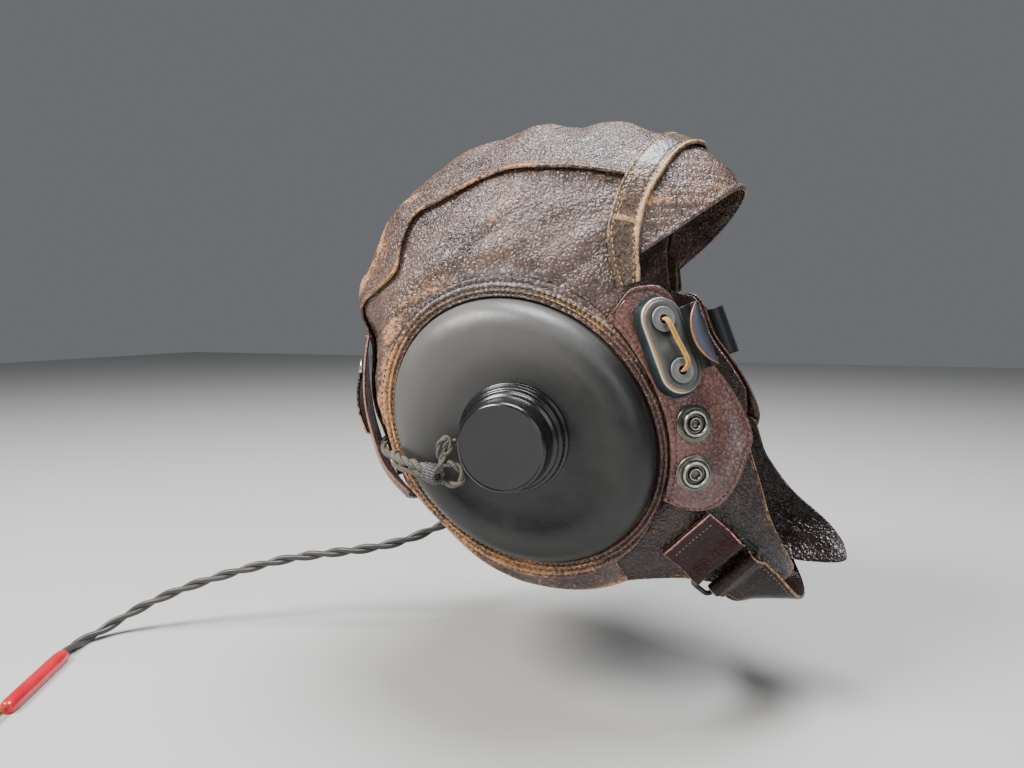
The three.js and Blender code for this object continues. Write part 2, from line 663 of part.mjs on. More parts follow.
function earRing() {
  const turns = Array.from({ length: RING_ROWS }, (_, i) => (360 * i) / RING_ROWS);
  const inside = turns.map((turn) => roundCup(turn, SEAM_GAP));
  const outside = turns.map((turn) => roundCup(turn, ringWidth(turn)));
  return between(inside, outside, 2, UPPER, true);
}

function cheekPatch() {
  const rear = PATCH.map(({ turn }) => roundCup(turn, ringWidth(turn) + SEAM_GAP));
  return between(rear, PATCH, PANEL_COLUMNS, PATCH_LAYER);
}

add('crown_panel', crownPanel(), 'shell');
addPair('side_panel', sidePanel(), 'shell');
add('brow_panel', browPanel(), 'shell');
add('brow_band', browBand(), 'shell');
addPair('ear_ring', earRing(), 'shell');
addPair('cheek_patch', cheekPatch(), 'reddish');
add('chin_curtain_right', chinCurtain(0), 'shell');
add('chin_curtain_left', mirrored(chinCurtain(FLARE)), 'shell');

// Ear cups and receivers stand on the ear plane
const EAR_AXIS = vec(-SLOPE_FORWARD, -1, -SLOPE_UP).normalize();
const EAR_ORIGIN = vec(EAR_FORWARD, -EAR_OUT, -EAR_DROP);
const EAR_UP = vec(0, 0, 1).addScaledVector(EAR_AXIS, -EAR_AXIS.z).normalize();
const EAR_FRONT = vec().crossVectors(EAR_AXIS, EAR_UP).negate();
const earPoint = ([forward, up, out]) => EAR_ORIGIN.clone()
  .addScaledVector(EAR_FRONT, forward).addScaledVector(EAR_UP, up).addScaledVector(EAR_AXIS, out);

const NECK_RADIUS = 0.87 * RECEIVER_RADIUS;
const RECEIVER_SIDES = 18;

function earCup() {
  const rows = Array.from({ length: CUP_SIDES }, (_, i) => {
    const turn = (360 * i) / CUP_SIDES;
    const point = (inset, height) => {
      const x = EAR_FORWARD + inset * Math.cos(rad(turn));
      const z = -EAR_DROP + inset * Math.sin(rad(turn));
      return vec(x, -earPlaneOut(x, z), z).addScaledVector(EAR_AXIS, LAYER_GAP + height);
    };
    const hole = NECK_RADIUS + RECEIVER_FIT;
    return CUP_SECTION.map(({ inward, height, inside }, row) => {
      const rim = ovalRadius(turn);
      const wall = row < CUP_SIDE_ROWS ? CUP_WALL : 0;
      return {
        outer: point(lerp(rim, hole, inward), CUP_RISE * height),
        inner: point(lerp(rim - wall, hole, inward), CUP_RISE * inside),
      };
    });
  });
  return sheet(rows, true);
}

function receiver() {
  const seat = LAYER_GAP + CUP_RISE * CUP_SECTION.at(-1).height;
  const above = RECEIVER_SECTION.map(({ radius, height }) => (
    [RECEIVER_RADIUS * radius, seat + RECEIVER_FIT + RECEIVER_HEIGHT * height]));
  const below = seat - CUP_WALL - RECEIVER_FIT - FLANGE_DROP;
  const flange = NECK_RADIUS + FLANGE_WIDTH;
  const inside = [
    [0, below - EARPHONE_DEPTH], [NECK_RADIUS - EARPHONE_INSET, below - EARPHONE_DEPTH],
    [flange, below - FLANGE_THICK], [flange, below], [NECK_RADIUS, below], [NECK_RADIUS, seat + RECEIVER_FIT],
  ];
  return turned([...inside, ...above, [0, above.at(-1)[1]]], RECEIVER_SIDES);
}

addPair('ear_cup', earCup(), 'rubber');
addPair('receiver', placed(receiver(), EAR_ORIGIN, EAR_AXIS, EAR_UP), 'bakelite');

// Mask hook, in its own frame: x along the plate, y out of the leather, z to the front
const HOOK_PLACE = { around: -0.9, across: 51.5 };
const HOOK_LIFT = PATCH_LAYER.outer + FIT;
const HOOK_SLANT = 22;           // degrees that the plate leans forward at its foot
const HOOK_BOW = 1.9;            // bulge of the leather under the flat plate
const HOOK_DOWN = vec(Math.sin(rad(HOOK_SLANT)), 0, -Math.cos(rad(HOOK_SLANT)));
const hookChord = (degreesAround, degreesAcross) => (
  surface(HOOK_PLACE.around + degreesAround, HOOK_PLACE.across + degreesAcross)
    .sub(surface(HOOK_PLACE.around - degreesAround, HOOK_PLACE.across - degreesAcross)));
const hookAxis = hookChord(11, 0).cross(hookChord(0, 5)).normalize();
const hookPoint = surface(HOOK_PLACE.around, HOOK_PLACE.across, HOOK_LIFT)
  .addScaledVector(hookAxis, HOOK_BOW);
const onHook = (geometry) => placed(geometry, hookPoint, hookAxis, HOOK_DOWN);
const upright = (geometry) => geometry.clone().rotateX(-Math.PI / 2);

function stadium(half, radius) {
  const shape = new THREE.Shape();
  shape.absarc(half, 0, radius, -Math.PI / 2, Math.PI / 2);
  shape.absarc(-half, 0, radius, Math.PI / 2, 1.5 * Math.PI);
  return shape;
}

function circleHole(x, y, radius) {
  return new THREE.Path().absarc(x, y, radius, 0, 2 * Math.PI, true);
}

function maskHook() {
  const spacing = HOOK_SPACING / 2;
  const outline = stadium(spacing, HOOK_PLATE_RADIUS);
  outline.holes = [-spacing, spacing].map((x) => circleHole(x, 0, GROMMET_NECK + FIT));
  const plate = upright(new THREE.ExtrudeGeometry(outline, {
    depth: HOOK_PLATE_THICK, bevelEnabled: false, curveSegments: 4,
  }));
  const bend = new THREE.Shape();
  const root = HOOK_PLATE_RADIUS - HOOK_ROOT;
  const centre = [root + HOOK_ROOT_RUN, HOOK_REACH + HOOK_RISE];
  const [front, top] = [centre[0] + HOOK_REACH, HOOK_REACH + HOOK_LIP_RISE];
  bend.moveTo(root, HOOK_RISE);
  bend.absarc(...centre, HOOK_REACH, -Math.PI / 2, 0, false);
  bend.lineTo(front, top);
  bend.lineTo(front - HOOK_LIP_THICK, top);
  bend.absarc(...centre, HOOK_REACH - HOOK_THICK, 0, -Math.PI / 2, true);
  bend.lineTo(root, HOOK_THICK + HOOK_RISE);
  const hook = new THREE.ExtrudeGeometry(bend, {
    depth: HOOK_LIP_LENGTH, bevelEnabled: false, curveSegments: 4,
  }).translate(0, 0, -HOOK_LIP_LENGTH / 2).rotateY(Math.PI / 2);
  const [half, flap] = [HOOK_LIP_LENGTH / 2, new THREE.Shape()];
  const arc = (half ** 2 + HOOK_FLAP ** 2) / (2 * HOOK_FLAP);
  const spread = Math.asin(half / arc);
  flap.absarc(0, front - HOOK_FLAP + arc, arc, -Math.PI / 2 - spread, -Math.PI / 2 + spread, false);
  const moon = upright(new THREE.ExtrudeGeometry(flap, {
    depth: HOOK_FLAP_THICK, bevelEnabled: false, curveSegments: 8,
  })).translate(0, top - HOOK_FLAP_THICK, 0);
  return joined(plate, hook, moon);
}

function grommet() {
  const [foot, top] = [FIT, HOOK_PLATE_THICK + FIT];
  return turned([
    [GROMMET_HOLE, foot], [GROMMET_NECK, foot], [GROMMET_NECK, top], [GROMMET_RADIUS, top],
    [GROMMET_RADIUS - GROMMET_BEVEL, top + GROMMET_HEAD], [GROMMET_HOLE, top + GROMMET_HEAD - GROMMET_DISH],
    [GROMMET_HOLE, foot],
  ], 10);
}

// Lace over the plate: share of the way from the middle to a grommet, height over the plate, bow to the front
const LACE_ROUTE = [
  { along: -1, height: -1.6, bow: 0 }, { along: -1, height: 1.8, bow: 0 },
  { along: -0.79, height: 3.6, bow: 0.3 }, { along: -0.2, height: 3.7, bow: 1 },
  { along: 0.35, height: 3.9, bow: 1.9 }, { along: 0.79, height: 4, bow: 2 },
  { along: 1, height: 1.8, bow: 0 }, { along: 1, height: -1.6, bow: 0 },
];

function hookLace() {
  const points = LACE_ROUTE.map(({ along, height, bow }) => (
    vec((along * HOOK_SPACING) / 2, HOOK_PLATE_THICK + height, -bow)));
  return tube(points, LACE_THICK, 9);
}

addPair('mask_hook', onHook(maskHook()), 'metal');
addPair('grommet_upper', onHook(grommet().translate(-HOOK_SPACING / 2, 0, 0)), 'metal');
addPair('grommet_lower', onHook(grommet().translate(HOOK_SPACING / 2, 0, 0)), 'metal');
addPair('hook_lace', onHook(hookLace()), 'lace');

// Snap sockets on the patch
const SNAPS = [
  { name: 'snap_upper', around: -20, across: 50.8 },
  { name: 'snap_lower', around: -30.5, across: 52.8 },
];

function snapSocket() {
  return turned([
    [0, 0], [SNAP_RADIUS, 0], [SNAP_RADIUS, SNAP_RIM], [SNAP_RADIUS - 1, 1.7], [SNAP_RADIUS - 2.3, 1.4],
    [SNAP_TOP_RADIUS, SNAP_HEIGHT], [SNAP_HOLE, SNAP_HEIGHT], [SNAP_HOLE, SNAP_RIM], [0, SNAP_RIM],
  ], 12);
}

SNAPS.forEach(({ name, around, across }) => {
  const point = surface(around, across, PATCH_LAYER.outer + SNAP_SEAT);
  addPair(name, placed(snapSocket(), point, formNormal(around, across)), 'metal');
});

// Chin strap, buckle and tab. A frame at each place of the strap: along it, across its width, and outwards
function strapFrame(across) {
  const point = formPoint(STRAP_AT, across);
  const along = formPoint(STRAP_AT, across - 1).sub(formPoint(STRAP_AT, across + 1)).normalize();
  const jaw = formPoint(STRAP_AT + 3, across).sub(formPoint(STRAP_AT - 3, across)).normalize();
  const flat = vec(1, 0, STRAP_FLAT_RISE);
  const wide = flat.lerp(jaw, smooth((Math.abs(across) - STRAP_FLAT_ACROSS) / STRAP_TURN_ACROSS));
  wide.addScaledVector(along, -wide.dot(along)).normalize();
  return { point, along, wide, out: vec().crossVectors(along, wide).normalize() };
}

const EYE_RADIUS = Math.hypot(BUCKLE_BAR, BUCKLE_SIDE) / 2 + FIT;
const EYE_WALL = EYE_RADIUS + STRAP_LOOP_WALL;
const BUCKLE_LIFT = BASE.outer + EYE_WALL + STRAP_LIFT;
const buckle = strapFrame(BUCKLE_ACROSS);
const buckleMatrix = new THREE.Matrix4().makeBasis(buckle.along, buckle.out, vec().crossVectors(
  buckle.along, buckle.out)).setPosition(buckle.point.clone().addScaledVector(buckle.out, BUCKLE_LIFT));

// A section drawn along the strap (x) and outwards (y) from the fixed bar, given its width
function wide(shape, width) {
  return new THREE.ExtrudeGeometry(shape, { depth: width, bevelEnabled: false, curveSegments: 5 })
    .translate(0, 0, -width / 2).applyMatrix4(buckleMatrix);
}

const rod = (x, radius, width) => wide(new THREE.Shape().absarc(x, 0, radius, 0, 2 * Math.PI), width);
const shapeOf = (points) => new THREE.Shape(points.map(([x, y]) => new THREE.Vector2(x, y)));

function buckleTab() {
  const flat = shapeOf([
    [-TAB_LENGTH, TAB_SAG - EYE_WALL], [-TAB_LENGTH, TAB_THICK - EYE_WALL + TAB_SAG],
    [0, TAB_THICK - EYE_WALL], [0, -EYE_WALL],
  ]);
  const whole = joined(wide(flat, TAB_WIDTH), rod(0, EYE_WALL, TAB_WIDTH));
  return cut(whole, rod(0, EYE_RADIUS, 2 * TAB_WIDTH));
}

function chinStrap() {
  const places = steps(14, (t) => lerp(STRAP_START_ACROSS, STRAP_END_ACROSS, t));
  const rows = places.map((across) => {
    const { point, wide: width, out } = strapFrame(across);
    const half = width.multiplyScalar(STRAP_WIDTH / 2);
    const at = (side, lift) => point.clone().addScaledVector(half, side).addScaledVector(out, lift);
    return [-1, 0, 1].map((side) => ({
      inner: at(side, STRAP_LIFT), outer: at(side, STRAP_LIFT + STRAP_THICK),
    }));
  });
  const end = BUCKLE_PITCH + STRAP_LINK;
  const link = shapeOf([
    [BUCKLE_PITCH - 1, 1], [BUCKLE_PITCH, -EYE_WALL], [end, -EYE_WALL - 0.3],
    [end, STRAP_LOOP_WALL - EYE_WALL], [BUCKLE_PITCH + 1, EYE_WALL],
  ]);
  const whole = joined(sheet(rows), wide(link, STRAP_WIDTH), rod(BUCKLE_PITCH, EYE_WALL, STRAP_WIDTH));
  return cut(whole, rod(BUCKLE_PITCH, EYE_RADIUS, 2 * STRAP_WIDTH));
}

function chinBuckle() {
  const [inner, outer] = [TAB_WIDTH / 2 + FIT, TAB_WIDTH / 2 + FIT + BUCKLE_SIDE];
  const half = BUCKLE_BAR / 2;
  const frame = shapeOf([[-half, -outer], [BUCKLE_PITCH + half, -outer], [BUCKLE_PITCH + half, outer],
    [-half, outer]]);
  frame.holes = [new THREE.Path([[half, -inner], [half, inner], [BUCKLE_PITCH - half, inner],
    [BUCKLE_PITCH - half, -inner]].map(([x, y]) => new THREE.Vector2(x, y)))];
  return new THREE.ExtrudeGeometry(frame, { depth: BUCKLE_SIDE, bevelEnabled: false })
    .translate(0, 0, -BUCKLE_SIDE / 2).rotateX(Math.PI / 2).applyMatrix4(buckleMatrix);
}

add('buckle_tab', buckleTab(), 'reddish');
add('chin_strap', chinStrap(), 'reddish');
add('chin_buckle', chinBuckle(), 'metal');

// Rear straps stand off the shell in the middle, where the lead passes under them
const REAR_STRAP_LINE = steps(REAR_STRAP_ROWS, (t) => ({
  around: lerp(REAR_STRAP.fromAround, REAR_STRAP.toAround, t),
  across: lerp(REAR_STRAP.fromAcross, REAR_STRAP.toAcross, t),
}));
const REAR_STRAP_HALF = REAR_STRAP_WIDTH / 2 / REAR_STRAP_STEP;

function rearStrap() {
  return sheet(REAR_STRAP_LINE.map(({ around, across }, row) => steps(2, (t) => {
    const place = { around, across: across + REAR_STRAP_HALF * (2 * t - 1) };
    return leather(place, UPPER, rearStrapLift(place, row / REAR_STRAP_ROWS));
  })));
}

// The strap bridges the dents, stands off in the middle and rises over the ear ring at its foot
function rearStrapLift({ around, across }, along) {
  const bridge = Math.max(0, -foldLift(around, across));
  const middle = REAR_STRAP_STAND_OFF * Math.sin(Math.PI * along) ** 0.8;
  return REAR_STRAP_SEAT + bridge + middle + (UPPER.outer - BASE.outer) * smooth((along - 0.55) / 0.3);
}

function rearSnap() {
  return turned([
    [0, 0], [REAR_SNAP_RADIUS, 0], [REAR_SNAP_RADIUS, 0.8], [REAR_SNAP_RADIUS - 2, 2], [0, 2.4],
  ], 12);
}

addPair('rear_strap', rearStrap(), 'reddish');
const rearSnapPlace = REAR_STRAP_LINE[REAR_SNAP_ROW];
const rearSnapLift = UPPER.outer + rearStrapLift(rearSnapPlace, REAR_SNAP_ROW / REAR_STRAP_ROWS) + SNAP_SEAT;
const rearSnapPoint = surface(rearSnapPlace.around, rearSnapPlace.across, rearSnapLift);
addPair('rear_snap', placed(
  rearSnap(), rearSnapPoint, formNormal(rearSnapPlace.around, rearSnapPlace.across)), 'metal');

// Leads: the right one is knotted, runs round the nape and ends in the junction behind the left cup
const alongNape = LEAD_NAPE_ROUTE.map(({ around, across, lift }) => surface(around, across, lift));
const knotPoints = KNOT_ROUTE.map(earPoint);
const leftSide = (point) => vec(point.x, -point.y, point.z);
const cordPoints = CORD_ROUTE.map(([x, y, z]) => vec(x, y, z));
const cordStart = cordPoints[0];
const cordDirection = cordPoints[1].clone().sub(cordStart).normalize();
const junctionTop = cordStart.clone().addScaledVector(cordDirection, -JUNCTION_LENGTH - FIT);

function knotTurns() {
  const centre = earPoint(KNOT_CENTRE);
  const along = earPoint(KNOT_ROUTE[3]).sub(earPoint(KNOT_ROUTE[0])).normalize();
  return KNOT_TURNS.map((turn) => {
    const ring = new THREE.TorusGeometry(turn.radius, LOOP_THICK / 2, 5, 8).rotateX(Math.PI / 2);
    const axis = along.clone().applyAxisAngle(EAR_AXIS, rad(turn.tilt));
    return placed(ring, centre.clone().addScaledVector(along, turn.along), axis, EAR_AXIS);
  });
}

// The last stretch of a lead into the junction, side by side with the other lead
function intoJunction(side) {
  const beside = vec().crossVectors(cordDirection, EAR_AXIS).normalize();
  beside.multiplyScalar(side * (LEAD_THICK / 2 + FIT));
  const end = junctionTop.clone().add(beside);
  return [LEAD_RUN_IN, FIT].map((back) => end.clone().addScaledVector(cordDirection, -back));
}

function rightLead() {
  const points = [...intoJunction(1).reverse(), ...alongNape.slice().reverse(), ...knotPoints];
  const loop = tube(LOOP_ROUTE.map(earPoint), LOOP_THICK, LOOP_STEPS);
  return joined(tube(points, LEAD_THICK, LONG_LEAD_STEPS), ...knotTurns(), loop);
}

function leftLead() {
  const points = [...knotPoints.map(leftSide).reverse(), ...intoJunction(-1)];
  const loop = tube(LOOP_ROUTE.map(earPoint).map(leftSide), LOOP_THICK, LOOP_STEPS);
  return joined(tube(points, LEAD_THICK, SHORT_LEAD_STEPS), ...knotTurns().map(mirrored), loop);
}

add('receiver_lead_right', rightLead(), 'lead');
add('receiver_lead_left', leftLead(), 'lead');
add('lead_junction', placed(turned([
  [0, 0], [JUNCTION_RADIUS - 1, 0], [JUNCTION_RADIUS, 2], [JUNCTION_RADIUS, JUNCTION_LENGTH - 6],
  [CORD_THICK / 2 + 0.6, JUNCTION_LENGTH], [0, JUNCTION_LENGTH],
], 12), junctionTop, cordDirection, vec(0, 1, 0)), 'lead');

// Cord and plug
const plugStart = cordPoints.at(-1);
const plugDirection = vec(28, -56, 0).normalize();
add('cord', tube(cordPoints, CORD_THICK, CORD_STEPS, CORD_SIDES), 'cord');
add('plug_sleeve', placed(turned([
  [0, FIT], [PLUG_RADIUS - 1.2, FIT], [PLUG_RADIUS - 0.4, 3], [PLUG_RADIUS, 14],
  [PLUG_RADIUS, PLUG_LENGTH - 10], [PLUG_RADIUS - 1.4, PLUG_LENGTH], [0, PLUG_LENGTH],
], 12), plugStart, plugDirection), 'plug');
add('plug_pin', placed(turned([
  [0, PLUG_LENGTH + FIT], [PIN_RADIUS, PLUG_LENGTH + FIT], [PIN_RADIUS, PLUG_LENGTH + PIN_LENGTH - 2],
  [PIN_RADIUS / 2, PLUG_LENGTH + PIN_LENGTH], [0, PLUG_LENGTH + PIN_LENGTH],
], 8), plugStart, plugDirection), 'brass');

// The origin is the seat point, at the top of the hollow
const seat = surface(90, 0, BASE.inner);
helmet.position.set(0, 0, -seat.z);

export default helmet;
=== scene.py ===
"""Looks of the leather flying helmet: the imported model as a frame, dressed with fine meshes and materials."""
import math

import bmesh
import bpy
import numpy as np
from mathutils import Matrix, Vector

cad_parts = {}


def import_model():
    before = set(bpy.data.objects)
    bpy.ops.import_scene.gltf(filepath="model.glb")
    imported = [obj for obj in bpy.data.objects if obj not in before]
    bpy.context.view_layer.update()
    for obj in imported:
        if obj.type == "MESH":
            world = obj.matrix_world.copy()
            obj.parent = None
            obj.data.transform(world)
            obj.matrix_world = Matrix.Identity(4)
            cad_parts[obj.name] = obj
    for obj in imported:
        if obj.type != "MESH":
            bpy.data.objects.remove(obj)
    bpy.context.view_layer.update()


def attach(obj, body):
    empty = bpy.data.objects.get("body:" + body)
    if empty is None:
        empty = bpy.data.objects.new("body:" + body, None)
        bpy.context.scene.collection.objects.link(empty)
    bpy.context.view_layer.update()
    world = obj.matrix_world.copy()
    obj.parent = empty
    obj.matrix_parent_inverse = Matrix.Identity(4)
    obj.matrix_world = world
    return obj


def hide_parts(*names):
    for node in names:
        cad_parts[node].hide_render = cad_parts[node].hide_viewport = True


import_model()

# Camera at the photograph's viewing angle
SEAT = 109.5238                 # datum of the form below the row's origin, in mm
CAMERA_AT = (126.8, -406.6, 12.8)
CAMERA_LENS = 27.04


def world(points):
    """Datum frame in mm to the row frame in metres."""
    return (np.asarray(points, float) - np.array([0.0, 0.0, SEAT])) / 1000


camera_data = bpy.data.cameras.new("camera")
camera_data.lens = CAMERA_LENS
camera_data.sensor_width = 36
camera_data.clip_start = 0.01
camera = bpy.data.objects.new("camera", camera_data)
bpy.context.scene.collection.objects.link(camera)
bpy.context.scene.camera = camera
camera.location = world(CAMERA_AT).tolist()
azimuth, elevation = math.radians(20), math.radians(5)
looking = Vector((-math.sin(azimuth) * math.cos(elevation),
                  math.cos(azimuth) * math.cos(elevation), -math.sin(elevation)))
camera.rotation_euler = looking.to_track_quat("-Z", "Y").to_euler()


# Materials
def material(name, build):
    made = bpy.data.materials.new(name)
    made.use_nodes = True
    tree = made.node_tree
    tree.nodes.clear()
    shader = tree.nodes.new("ShaderNodeBsdfPrincipled")
    out = tree.nodes.new("ShaderNodeOutputMaterial")
    tree.links.new(shader.outputs[0], out.inputs[0])
    build(Nodes(tree, shader))
    return made


class Nodes:
    """Short ways to place the nodes of one material."""

    def __init__(self, tree, shader):
        self.tree, self.shader = tree, shader
        self.coords = tree.nodes.new("ShaderNodeTexCoord").outputs["Object"]

    def link(self, source, target):
        self.tree.links.new(source, target)
        return source

    def put(self, socket, value):
        if isinstance(value, bpy.types.NodeSocket):
            self.link(value, socket)
        else:
            socket.default_value = value

    def noise(self, scale, detail, rough):
        node = self.tree.nodes.new("ShaderNodeTexNoise")
        self.link(self.coords, node.inputs["Vector"])
        node.inputs["Scale"].default_value = scale
        node.inputs["Detail"].default_value = detail
        node.inputs["Roughness"].default_value = rough
        return node.outputs["Fac"]

    def warped(self, scale, amount):
        noise = self.tree.nodes.new("ShaderNodeTexNoise")
        self.link(self.coords, noise.inputs["Vector"])
        noise.inputs["Scale"].default_value = scale
        mix = self.tree.nodes.new("ShaderNodeMix")
        mix.data_type = "RGBA"
        mix.blend_type = "LINEAR_LIGHT"
        mix.inputs["Factor"].default_value = amount
        self.link(self.coords, mix.inputs[6])
        self.link(noise.outputs["Color"], mix.inputs[7])
        return mix.outputs[2]

    def cells(self, scale, vector):
        """Distance from the edges of small cells."""
        node = self.tree.nodes.new("ShaderNodeTexVoronoi")
        node.feature = "DISTANCE_TO_EDGE"
        self.link(vector, node.inputs["Vector"])
        node.inputs["Scale"].default_value = scale
        return node.outputs["Distance"]

    def ramp(self, value, low, high, to_low=0.0, to_high=1.0):
        node = self.tree.nodes.new("ShaderNodeMapRange")
        node.interpolation_type = "SMOOTHSTEP"
        self.link(value, node.inputs["Value"])
        for key, number in zip(("From Min", "From Max", "To Min", "To Max"), (low, high, to_low, to_high)):
            node.inputs[key].default_value = number
        return node.outputs[0]

    def math(self, operation, first, second=0.0):
        node = self.tree.nodes.new("ShaderNodeMath")
        node.operation = operation
        self.put(node.inputs[0], first)
        self.put(node.inputs[1], second)
        return node.outputs[0]

    def total(self, *terms):
        """Sum of terms, each a value or a value and its weight."""
        made = None
        for term in terms:
            if isinstance(term, tuple):
                term = self.product(*term)
            made = term if made is None else self.math("ADD", made, term)
        return made

    def product(self, first, second):
        return self.math("MULTIPLY", first, second)

    def mix(self, share, first, second):
        node = self.tree.nodes.new("ShaderNodeMix")
        node.data_type = "RGBA"
        self.put(node.inputs["Factor"], share)
        for socket, value in ((node.inputs[6], first), (node.inputs[7], second)):
            self.put(socket, (*value, 1) if isinstance(value, tuple) else value)
        return node.outputs[2]

    def attribute(self, name):
        node = self.tree.nodes.new("ShaderNodeAttribute")
        node.attribute_name = name
        return node.outputs["Fac"]

    def bump(self, height, strength, distance):
        node = self.tree.nodes.new("ShaderNodeBump")
        node.inputs["Strength"].default_value = strength
        node.inputs["Distance"].default_value = distance
        self.link(height, node.inputs["Height"])
        return self.link(node.outputs[0], self.shader.inputs["Normal"])

    def set(self, **values):
        for name, value in values.items():
            full = (*value, 1) if isinstance(value, tuple) else value
            self.put(self.shader.inputs[name.replace("_", " ")], full)


def scaled(colour, factor):
    return tuple(min(1, factor * c) for c in colour)


RED_DARK, RED_LIGHT = (0.050, 0.020, 0.015), (0.140, 0.068, 0.052)
# colour of the painted highlights on the leather
HIGHLIGHT_PAINT = (0.56, 0.52, 0.54)
COOL = (0.035, 0.040, 0.050)        # bluish share of a painted glint


def leather_material(name, dark, light, worn, gloss=0.42, crackle=0.25, bare=0.0, painted_glints=0.6, relief=0.8,
                     shine=0.7):
    """Grained leather: domed pebbles with painted glints on their tops and painted shade between them, hair
    cracks with rubbed ridges, and bare patches, painted highlights and painted shade in hollows set by the
    mesh.
    """
    def build(n):
        broad = n.noise(28, 5, 0.65)
        medium = n.noise(130, 5, 0.6)
        fine = n.noise(600, 3, 0.55)
        domes = n.ramp(n.cells(440, n.warped(230, 0.0018)), 0.0, 0.34)
        hair = n.ramp(n.cells(760, n.warped(380, 0.0018)), 0.0, 0.14)
        long_cracks = n.ramp(n.cells(150, n.warped(60, 0.014)), 0.0, 0.045)
        share = n.ramp(broad, 0.36, 0.62)
        tone = n.mix(share, dark, light)
        tone = n.mix(n.attribute("red"), tone, n.mix(share, RED_DARK, RED_LIGHT))
        tone = n.mix(n.ramp(fine, 0.42, 0.62, 0.0, 0.35), tone, scaled(light, 1.5))
        # painted shade in the creases between the pebbles
        tone = n.mix(n.ramp(domes, 0.0, 0.45, 0.5, 0.0), tone, scaled(dark, 0.6))
        # painted glints: light bluish specks on the pebble tops that stand for reflected light
        glints = n.product(n.ramp(domes, 0.45, 0.95), n.ramp(medium, 0.46, 0.62, 0.1, 1.0))
        glint = tuple(min(1, 1.7 * c + extra) for c, extra in zip(light, COOL))
        tone = n.mix(n.product(glints, painted_glints), tone, glint)
        patchy = n.total((fine, 0.6), (medium, 0.45), (broad, 0.45))
        rub = n.total(n.attribute("wear"), n.math("SUBTRACT", patchy, 0.92 - bare))
        tone = n.mix(n.product(n.ramp(hair, 0.0, 1.0, crackle, 0.0), n.ramp(rub, -0.3, 0.2)), tone, worn)
        tone = n.mix(n.product(n.ramp(rub, 0.0, 0.22), n.ramp(fine, 0.36, 0.52, 0.3, 1.0)), tone, worn)
        tone = n.mix(n.ramp(long_cracks, 0.0, 1.0, 0.45, 0.0), tone, scaled(dark, 0.4))
        # painted highlight where the mesh marks it, broken up by the pebbles
        pale = n.product(n.attribute("pale"), n.ramp(n.total(domes, medium), 0.6, 1.5, 0.25, 1.0))
        tone = n.mix(pale, tone, HIGHLIGHT_PAINT)
        # painted shade in hollows, creases and stitch grooves, and on the inner face
        tone = n.mix(n.ramp(n.attribute("hollow"), 0.05, 1.0, 0.0, 0.9), tone, scaled(dark, 0.2))
        rough = n.total(fine, n.ramp(rub, 0.02, 0.22))
        n.set(Base_Color=tone, Roughness=n.ramp(rough, 0.3, 1.5, gloss - 0.1, gloss + 0.25))
        grain = n.total(fine, (medium, 2.0))
        n.bump(n.total(domes, (long_cracks, 0.6), (grain, 0.7)), relief, 0.0006)
        n.shader.inputs["Specular IOR Level"].default_value = shine
        n.shader.inputs["Specular Tint"].default_value = (0.90, 0.92, 1.0, 1)
    return material(name, build)


def plain_material(name, colour, rough, metal=0.0, grain=0.1, speck=None, speck_share=0.0, scale=300,
                   coat=0.0, pale=(0.20, 0.197, 0.19)):
    """Hard or moulded surface with a little unevenness, dust and rubbed edges, and a painted highlight where
    the mesh marks one.
    """
    def build(n):
        broad = n.noise(55, 4, 0.6)
        fine = n.noise(scale, 5, 0.7)
        tone = n.mix(n.ramp(broad, 0.3, 0.7), colour, tuple(min(1, 1.35 * c + 0.004) for c in colour))
        if speck:
            rubbed = n.total((fine, 0.7), (broad, 0.5), n.attribute("wear"))
            tone = n.mix(n.ramp(rubbed, 0.86, 1.15, 0.0, speck_share), tone, speck)
        # painted highlight where the mesh marks it
        tone = n.mix(n.attribute("pale"), tone, pale)
        n.set(Base_Color=tone, Metallic=metal,
              Roughness=n.ramp(n.total(broad, fine), 0.6, 1.4, rough - 0.06, rough + 0.1))
        n.shader.inputs["Coat Weight"].default_value = coat
        n.shader.inputs["Coat Roughness"].default_value = 0.08
        n.bump(fine, grain, 0.0003)
    return material(name, build)


WEAVE_ALONG, WEAVE_TURN = 3.2, 25.13    # radians of weave in a mm of lead, and in half a turn round it


def braided_material(name, dark, light):
    """Braided cover: small slanted knots along the lead."""
    def build(n):
        along, turn = n.attribute("along"), n.attribute("turn")
        waves = []
        for sign in (1, -1):
            waves.append(n.math("SINE", n.total((along, WEAVE_ALONG), (turn, sign * WEAVE_TURN))))
        weave = n.product(*waves)
        fine = n.noise(900, 4, 0.7)
        tone = n.mix(n.ramp(n.total(weave, (fine, 1.2)), -0.2, 1.4), dark, light)
        n.set(Base_Color=tone, Roughness=0.85)
        n.bump(n.total(weave, fine), 0.7, 0.0004)
    return material(name, build)


def thread_material(name, colour):
    def build(n):
        fine = n.noise(1500, 3, 0.6)
        n.set(Base_Color=n.mix(n.ramp(fine, 0.35, 0.65), scaled(colour, 0.55), colour), Roughness=0.7)
        n.bump(fine, 0.3, 0.0002)
    return material(name, build)


